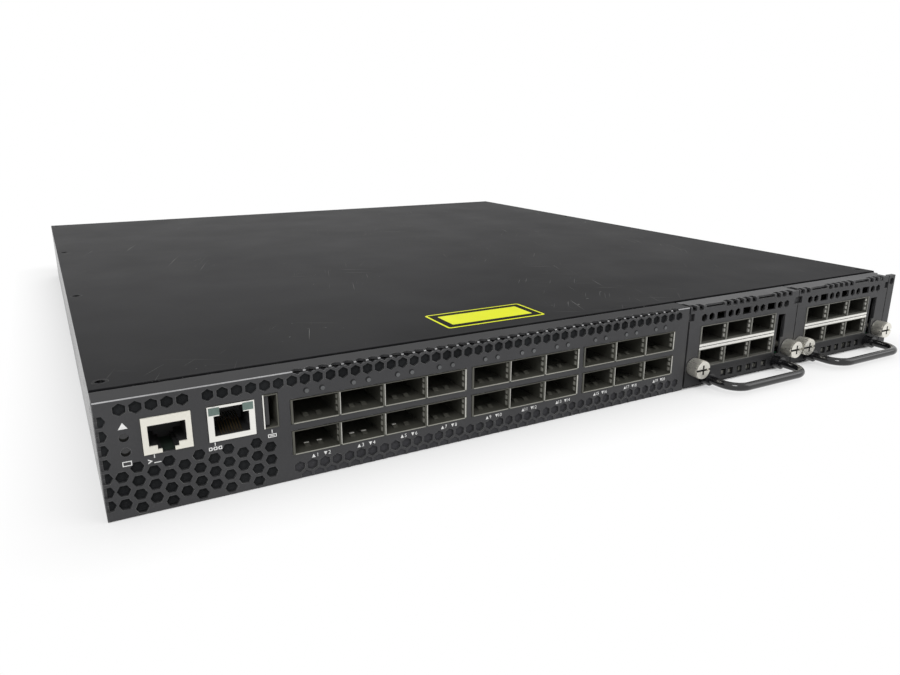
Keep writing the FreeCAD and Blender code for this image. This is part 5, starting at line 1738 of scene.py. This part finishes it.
@dataclass
class ModuleBoard:
    """Parts on a port module's circuit board. Millimetres from the board's left rear corner."""

    name: str
    thick: float = 1.6
    chips: tuple[tuple[float, float, float, float], ...] = (
        (31.0, 84.0, 17.0, 1.5), (14.0, 60.0, 9.0, 1.1), (48.0, 60.0, 9.0, 1.1), (31.0, 38.0, 12.0, 1.3),
    )
    chip_bevel: float = 0.2
    chokes: tuple[Point, ...] = ((10.0, 24.0), (20.0, 24.0), (44.0, 24.0), (54.0, 24.0))
    choke_side: float = 7.0
    choke_height: float = 4.2
    choke_bevel: float = 0.6
    cans: tuple[Point, ...] = ((10.0, 36.0), (19.0, 36.0), (46.0, 36.0), (55.0, 36.0))
    can_radius: float = 3.1
    can_height: float = 5.8
    can_bevel: float = 0.5
    small_rows: tuple[Point, ...] = ((6.0, 72.0), (38.0, 72.0), (6.0, 100.0), (38.0, 100.0), (22.0, 50.0))
    small_count: int = 9
    small_pitch: float = 2.0
    small_size: tuple[float, float, float] = (0.9, 1.7, 0.6)
    small_bevel: float = 0.1
    track_count: int = 16
    track_pitch: float = 1.1
    track_half: float = 0.16
    edge_run: Point = (10.0, 30.0)
    edge_stagger: int = 3
    inner_runs: tuple[Point, ...] = ((46.0, 74.0), (94.0, 118.0))
    contact_count: int = 36
    contact_pitch: float = 1.4
    contact_half: float = 0.45
    contact_start: float = 0.6
    contact_run: float = 6.5
    corner: Vector = field(init=False)

    def __post_init__(self) -> None:
        """Finds the corner of the board's upper face."""
        low, high = box_mm(f"{self.name}_board")
        self.corner = Vector((low.x, high.y, low.z + self.thick))

    def build(self) -> None:
        """Makes chips, chokes, capacitors, small parts, tracks and edge contacts."""
        chips = Sketch()
        for x, back, side, height in self.chips:
            self.block(chips, (x, back), side, side, height)
        chips.piece(f"{self.name}_chips", self.name, CHIP_BLACK, bevel=self.chip_bevel)
        chokes = Sketch()
        for middle in self.chokes:
            self.block(chokes, middle, self.choke_side, self.choke_side, self.choke_height)
        chokes.piece(f"{self.name}_chokes", self.name, CHOKE_GREY, bevel=self.choke_bevel)
        cans = Sketch()
        for x, back in self.cans:
            outline = disc((self.corner.x + x, self.corner.y - back), self.can_radius)
            cans.slab(outline, Plane.TOP, self.corner.z, self.can_height)
        cans.piece(
            f"{self.name}_capacitors", self.name, CAGE_STEEL, bevel=self.can_bevel, smooth=True,
        )
        small = Sketch()
        for x, back in self.small_rows:
            for number in range(self.small_count):
                self.block(small, (x + self.small_pitch * number, back), *self.small_size)
        small.piece(f"{self.name}_small_parts", self.name, CREAM_PLASTIC, bevel=self.small_bevel)
        self.lines()

    def lines(self) -> None:
        """Makes the raised tracks between chips and edge, and the gold contacts along the edge."""
        tracks = Sketch()
        middle = self.chips[0][0]
        for number, x in enumerate(spread(middle, self.track_pitch, self.track_count)):
            start, end = self.edge_run
            self.line(tracks, x, start + number % self.edge_stagger, end, self.track_half)
            for start, end in self.inner_runs:
                self.line(tracks, x, start, end, self.track_half)
        tracks.piece(f"{self.name}_tracks", self.name, TRACK_MASK)
        contacts = Sketch()
        end = self.contact_start + self.contact_run
        for x in spread(middle, self.contact_pitch, self.contact_count):
            self.line(contacts, x, self.contact_start, end, self.contact_half)
        contacts.piece(f"{self.name}_edge_contacts", self.name, GOLD)

    def block(self, sketch: Sketch, middle: Point, wide: float, deep: float, height: float) -> None:
        """Adds a block that stands on the board.

        Args:
            sketch: The piece that gathers the blocks.
            middle: Its middle, across and forward.
            wide: Its width.
            deep: Its depth.
            height: Its height.
        """
        centre = self.corner + Vector((middle[0], -middle[1], 0.0))
        half = Vector((wide / 2, deep / 2, 0.0))
        sketch.bar(centre - half, centre + half + Vector((0.0, 0.0, height)))

    def line(self, sketch: Sketch, x: float, start: float, end: float, half: float) -> None:
        """Adds a thin line that runs from the rear edge forward."""
        low = self.corner + Vector((x - half, -end, 0.0))
        sketch.bar(low, self.corner + Vector((x + half, -start, HAIR)))


@dataclass
class FanTrim:
    """Lamp, blank label, captive screw and frame finish of one fan module. Millimetres."""

    number: int
    lamp_x: float = 22.0
    lamp_z: float = 12.8
    lamp_radius: float = 0.95
    lamp_back: float = 0.5
    lamp_proud: float = 0.15
    label_half: float = 13.0
    label_start: float = 8.0
    label_run: float = 26.0
    label_corner: float = 1.0
    face_deep: float = 0.85
    face_relief: float = 0.008
    screw_radius: float = 3.9
    screw_length: float = 8.5
    screw_ridges: int = 30
    screw_proud: float = 0.15

    def build(self) -> None:
        """Makes the lamp, the label and the screw's ridges."""
        body = f"fan_{self.number}"
        face = box_mm(f"{body}_frame")[1].y
        house_low, house_high = box_mm(f"{body}_housing")
        middle = (house_low.x + house_high.x) / 2
        lamp = Sketch()
        outline = disc((self.lamp_x - middle, self.lamp_z), self.lamp_radius, steps=18)
        lamp.slab(outline, Plane.REAR, face - self.lamp_back, self.lamp_back + self.lamp_proud)
        lamp.piece(f"{body}_lamp", body, CLEAR_LENS, smooth=True)
        label = Sketch()
        start = house_low.y + self.label_start
        low = (middle - self.label_half, start)
        high = (middle + self.label_half, start + self.label_run)
        label.slab(rounded(low, high, self.label_corner), Plane.TOP, house_high.z, HAIR)
        label.piece(f"{body}_label", body, WHITE_FILM)
        self.screw().build()

    def screw(self) -> KnurledScrew:
        """The module's captive screw.

        Returns:
            The screw, ready to be built.
        """
        return KnurledScrew(
            f"fan_{self.number}_screw", self.screw_radius, self.screw_length, toward_front=False,
            ridges=self.screw_ridges, proud=self.screw_proud,
        )

    def finish(self) -> Finish:
        """Black face with bare galvanised folds behind it.

        Returns:
            The finish.
        """
        low, high = box_mm(f"fan_{self.number}_frame")
        return ZonedFinish(
            f"fan_{self.number}_finish", FAN_PAINT.colour, FAN_PAINT.roughness, outside=FAN_PAINT,
            inside=ZINC, low=(low.x - MARGIN, low.y - MARGIN, low.z - MARGIN),
            high=(high.x + MARGIN, high.y - self.face_deep, high.z + MARGIN), relief=self.face_relief,
        )


@dataclass
class SupplyTrim:
    """Rivets on the case and the inlet pins' finish of one power supply. Millimetres."""

    number: int
    rivet_radius: float = 1.7
    rivet_rise: float = 0.16
    rivet_rows: tuple[float, ...] = (9.0, 52.0, 118.0, 190.0)
    rivet_inset: float = 6.0
    rivet_crown: float = 0.75
    rivet_steps: int = 16
    pins_shift: float = 0.5
    pins_half: Point = (7.6, 9.0)
    pins_front: float = 0.5
    pins_back: float = 15.6
    relief: float = 0.004

    def build(self) -> None:
        """Makes the rivet heads on the top and both sides."""
        body = f"supply_{self.number}"
        low, high = box_mm(f"{body}_case")
        rivets = Sketch()
        for back in self.rivet_rows:
            y = high.y - back
            for x in (low.x + self.rivet_inset, high.x - self.rivet_inset):
                self.rivet(rivets, (x, y), Plane.TOP, high.z)
            for z in (low.z + self.rivet_inset, high.z - self.rivet_inset):
                self.rivet(rivets, (-y, z), Plane.LEFT, -low.x)
                self.rivet(rivets, (y, z), Plane.RIGHT, high.x)
        rivets.piece(f"{body}_rivets", body, ZINC, smooth=True)

    def rivet(self, sketch: Sketch, middle: Point, plane: Plane, at: float) -> None:
        """Adds a low rivet head in two steps.

        Args:
            sketch: The piece that gathers the rivets.
            middle: Its middle on the plane.
            plane: The side it sits on.
            at: How far out that side lies.
        """
        for width_share, rise_share in ((1.0, 0.5), (self.rivet_crown, 1.0)):
            outline = disc(middle, self.rivet_radius * width_share, self.rivet_steps)
            sketch.slab(outline, plane, at, self.rivet_rise * rise_share)

    def finish(self) -> Finish:
        """Black inlet with plated pins.

        Returns:
            The finish.
        """
        low, high = box_mm(f"supply_{self.number}_inlet")
        middle = ((low.x + high.x) / 2 + self.pins_shift, (low.z + high.z) / 2)
        (left, bottom), (right, top) = centred(middle, self.pins_half)
        return ZonedFinish(
            f"supply_{self.number}_inlet_finish", BLACK_PLASTIC.colour, BLACK_PLASTIC.roughness,
            outside=BLACK_PLASTIC, inside=NICKEL, low=(left, high.y - self.pins_back, bottom),
            high=(right, high.y - self.pins_front, top), relief=self.relief,
        )


@dataclass
class Studio:
    """Floor, lamps, background and camera. The camera in millimetres and radians, the rest in metres."""

    eye: tuple[float, float, float] = (-225.5, -483.4, 131.6)
    heading: float = 0.5073
    dip: float = 0.2885
    roll: float = 0.0038
    focal_pixels: float = 730.5
    floor_side: float = 30.0
    floor_colour: Rgb = (0.86, 0.86, 0.86)
    lift: float = 0.44
    lift_far: float = 0.034
    sky: float = 0.62
    aim: tuple[float, float, float] = (0.0, 0.0, 0.02)
    near_clip: float = 0.01
    lamps: tuple[tuple[str, tuple[float, float, float], float, float], ...] = (
        ("key_lamp", (-0.9, -1.3, 1.5), 0.7, 16.0),
        ("fill_lamp", (1.2, -1.0, 1.1), 1.2, 7.0),
        ("back_lamp", (0.2, 1.6, 1.4), 1.4, 9.0),
    )

    def build(self) -> None:
        """Sets up the stage around the object."""
        self.floor()
        self.world()
        for name, place, side, watts in self.lamps:
            self.lamp(name, Vector(place), side, watts)
        self.camera()
        bpy.context.scene.view_settings.view_transform = "Standard"

    def floor(self) -> None:
        """A wide pale floor level with the object's underside."""
        mesh = bpy.data.meshes.new("floor")
        half = self.floor_side / 2
        z = CAD_BOX[0][2]
        corners = [(x, y, z) for x, y in rectangle((-half, -half), (half, half))]
        mesh.from_pydata(corners, [], [range(len(corners))])
        made = bpy.data.objects.new("floor", mesh)
        bpy.context.scene.collection.objects.link(made)
        mesh.materials.append(self.floor_material())

    def floor_material(self) -> bpy.types.Material:
        """Matt pale paper that the camera and reflections see turn white away from the object.

        Returns:
            The material.
        """
        made = bpy.data.materials.new("floor_paper")
        made.use_nodes = True
        made.node_tree.nodes.clear()
        wires = Wires(made.node_tree)
        paper = wires.node("BsdfDiffuse", {"Color": rgba(self.floor_colour)})
        white = wires.node("Emission", {"Color": WHITE})
        low, high = (Vector(corner) for corner in CAD_BOX)
        low.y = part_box("front_panel")[0].y
        offset = wires.vector("SUBTRACT", wires.place(), (low + high) / 2).outputs[0]
        reach = wires.vector("ABSOLUTE", offset, offset).outputs[0]
        beyond = wires.vector("SUBTRACT", reach, (high - low) / 2).outputs[0]
        outside = wires.vector("MAXIMUM", beyond, (0.0, 0.0, 0.0)).outputs[0]
        away = wires.node("VectorMath", {0: outside}, operation="LENGTH").outputs["Value"]
        near = wires.ramp(away, 0.0, self.lift_far, self.lift, 1.0)
        lift = wires.math("MULTIPLY", near, wires.math("GREATER_THAN", away, 0.0))
        share = wires.math("MULTIPLY", wires.seen(), lift)
        blend = wires.node("MixShader", {0: share, 1: paper.outputs[0], 2: white.outputs[0]})
        wires.node("OutputMaterial", {"Surface": blend.outputs[0]})
        return made

    def world(self) -> None:
        """White to the camera and in reflections, softer as a lamp."""
        world = bpy.data.worlds.new("studio_white")
        bpy.context.scene.world = world
        world.use_nodes = True
        world.node_tree.nodes.clear()
        wires = Wires(world.node_tree)
        strength = wires.mix_value(wires.seen(), self.sky, 1.0)
        light = wires.node("Background", {"Color": WHITE, "Strength": strength})
        wires.node("OutputWorld", {"Surface": light.outputs[0]})

    def lamp(self, name: str, place: Vector, side: float, watts: float) -> None:
        """A square soft lamp that looks at the object.

        Args:
            name: The lamp's name.
            place: Where it hangs.
            side: The length of its side.
            watts: Its power.
        """
        data = bpy.data.lights.new(name, "AREA")
        data.size = side
        data.energy = watts
        made = bpy.data.objects.new(name, data)
        made.location = place
        made.rotation_euler = (Vector(self.aim) - place).to_track_quat("-Z", "Y").to_euler()
        bpy.context.scene.collection.objects.link(made)

    def camera(self) -> None:
        """The camera at the photograph's place, in its direction and with its field of view."""
        data = bpy.data.cameras.new("camera")
        data.sensor_width = SENSOR_WIDTH
        data.lens = self.focal_pixels / IMAGE_WIDTH * SENSOR_WIDTH
        data.clip_start = self.near_clip
        made = bpy.data.objects.new("camera", data)
        level = math.cos(self.dip)
        ahead = Vector((math.sin(self.heading) * level, math.cos(self.heading) * level, -math.sin(self.dip)))
        across = Vector((math.cos(self.heading), -math.sin(self.heading), 0.0))
        across.rotate(Matrix.Rotation(-self.roll, 3, ahead))
        upward = across.cross(ahead)
        turn = Matrix((across, upward, -ahead)).transposed().to_4x4()
        made.matrix_world = Matrix.Translation(Vector(self.eye) * MM) @ turn
        bpy.context.scene.collection.objects.link(made)
        bpy.context.scene.camera = made


def dress(finishes: dict[str, Finish]) -> None:
    """Gives every CAD node its finish.

    Args:
        finishes: Finishes of single nodes that differ from their slot's.
    """
    for part in frame["record"]["subparts"]:
        name = part["node"]
        finish = finishes.get(name, SLOT_FINISHES[part["material_slot"]])
        for slot in frame["nodes"][name].material_slots:
            slot.material = finish.material()
        LOG.info("%s is finished in %s", name, finish.name)


def main() -> None:
    """Builds every sub-assembly, dresses the frame and sets the stage."""
    logging.basicConfig(level=logging.INFO, format="%(message)s")
    # The last number of each block is how many columns from the left get painted highlights on their spring
    # tips.
    blocks = (("left", 4, 2.4), ("middle", 3, 0.0), ("right", 3, 0.0))
    cages = [
        PortCage(f"port_cage_{side}", "chassis", columns, highlight_columns=highlit)
        for side, columns, highlit in blocks
    ]
    for cage in cages:
        cage.build()
    FrontPrint(cages).build()
    console = ModularJack("console_jack", hole_low=2.8, contacts_above=True)
    manager = ModularJack("management_jack", hole_low=2.0, contacts_above=False, contact_finish=SHADED_GOLD)
    serial = SerialSocket()
    trims = (ManagementLamps(), LampShades(), VentLining(), LidLabel(), LidScrews())
    for part in (console, manager, serial, *trims):
        part.build()
    finishes = {
        "top_cover": LID_PAINT,
        "base_tray": TRAY_PAINT,
        "front_panel": FrontFold().finish(),
        "main_board": SHADED_MASK,
        "console_jack": console.finish(CREAM_PLASTIC),
        "management_jack": manager.finish(BRIGHT_STEEL),
        "usb_socket": serial.finish(),
    }
    for name in ("module_left", "module_right"):
        trim = ModuleTrim(name)
        trim.build()
        ModuleBoard(name).build()
        cages.append(trim.cage())
        finishes[f"{name}_carrier"] = trim.finish()
        for letter in "ab":
            screw = KnurledScrew(f"{name}_screw_{letter}", radius=4.6, length=6.8, toward_front=True)
            screw.build()
            finishes[screw.node] = screw.finish()
    for number in range(1, 6):
        fan = FanTrim(number)
        fan.build()
        finishes[f"fan_{number}_frame"] = fan.finish()
        finishes[f"fan_{number}_screw"] = fan.screw().finish()
    for number in (1, 2):
        supply = SupplyTrim(number)
        supply.build()
        finishes[f"supply_{number}_inlet"] = supply.finish()
    for cage in cages:
        finishes[cage.node] = cage.finish()
    dress(finishes)
    Studio().build()


if __name__ == "__main__":
    main()
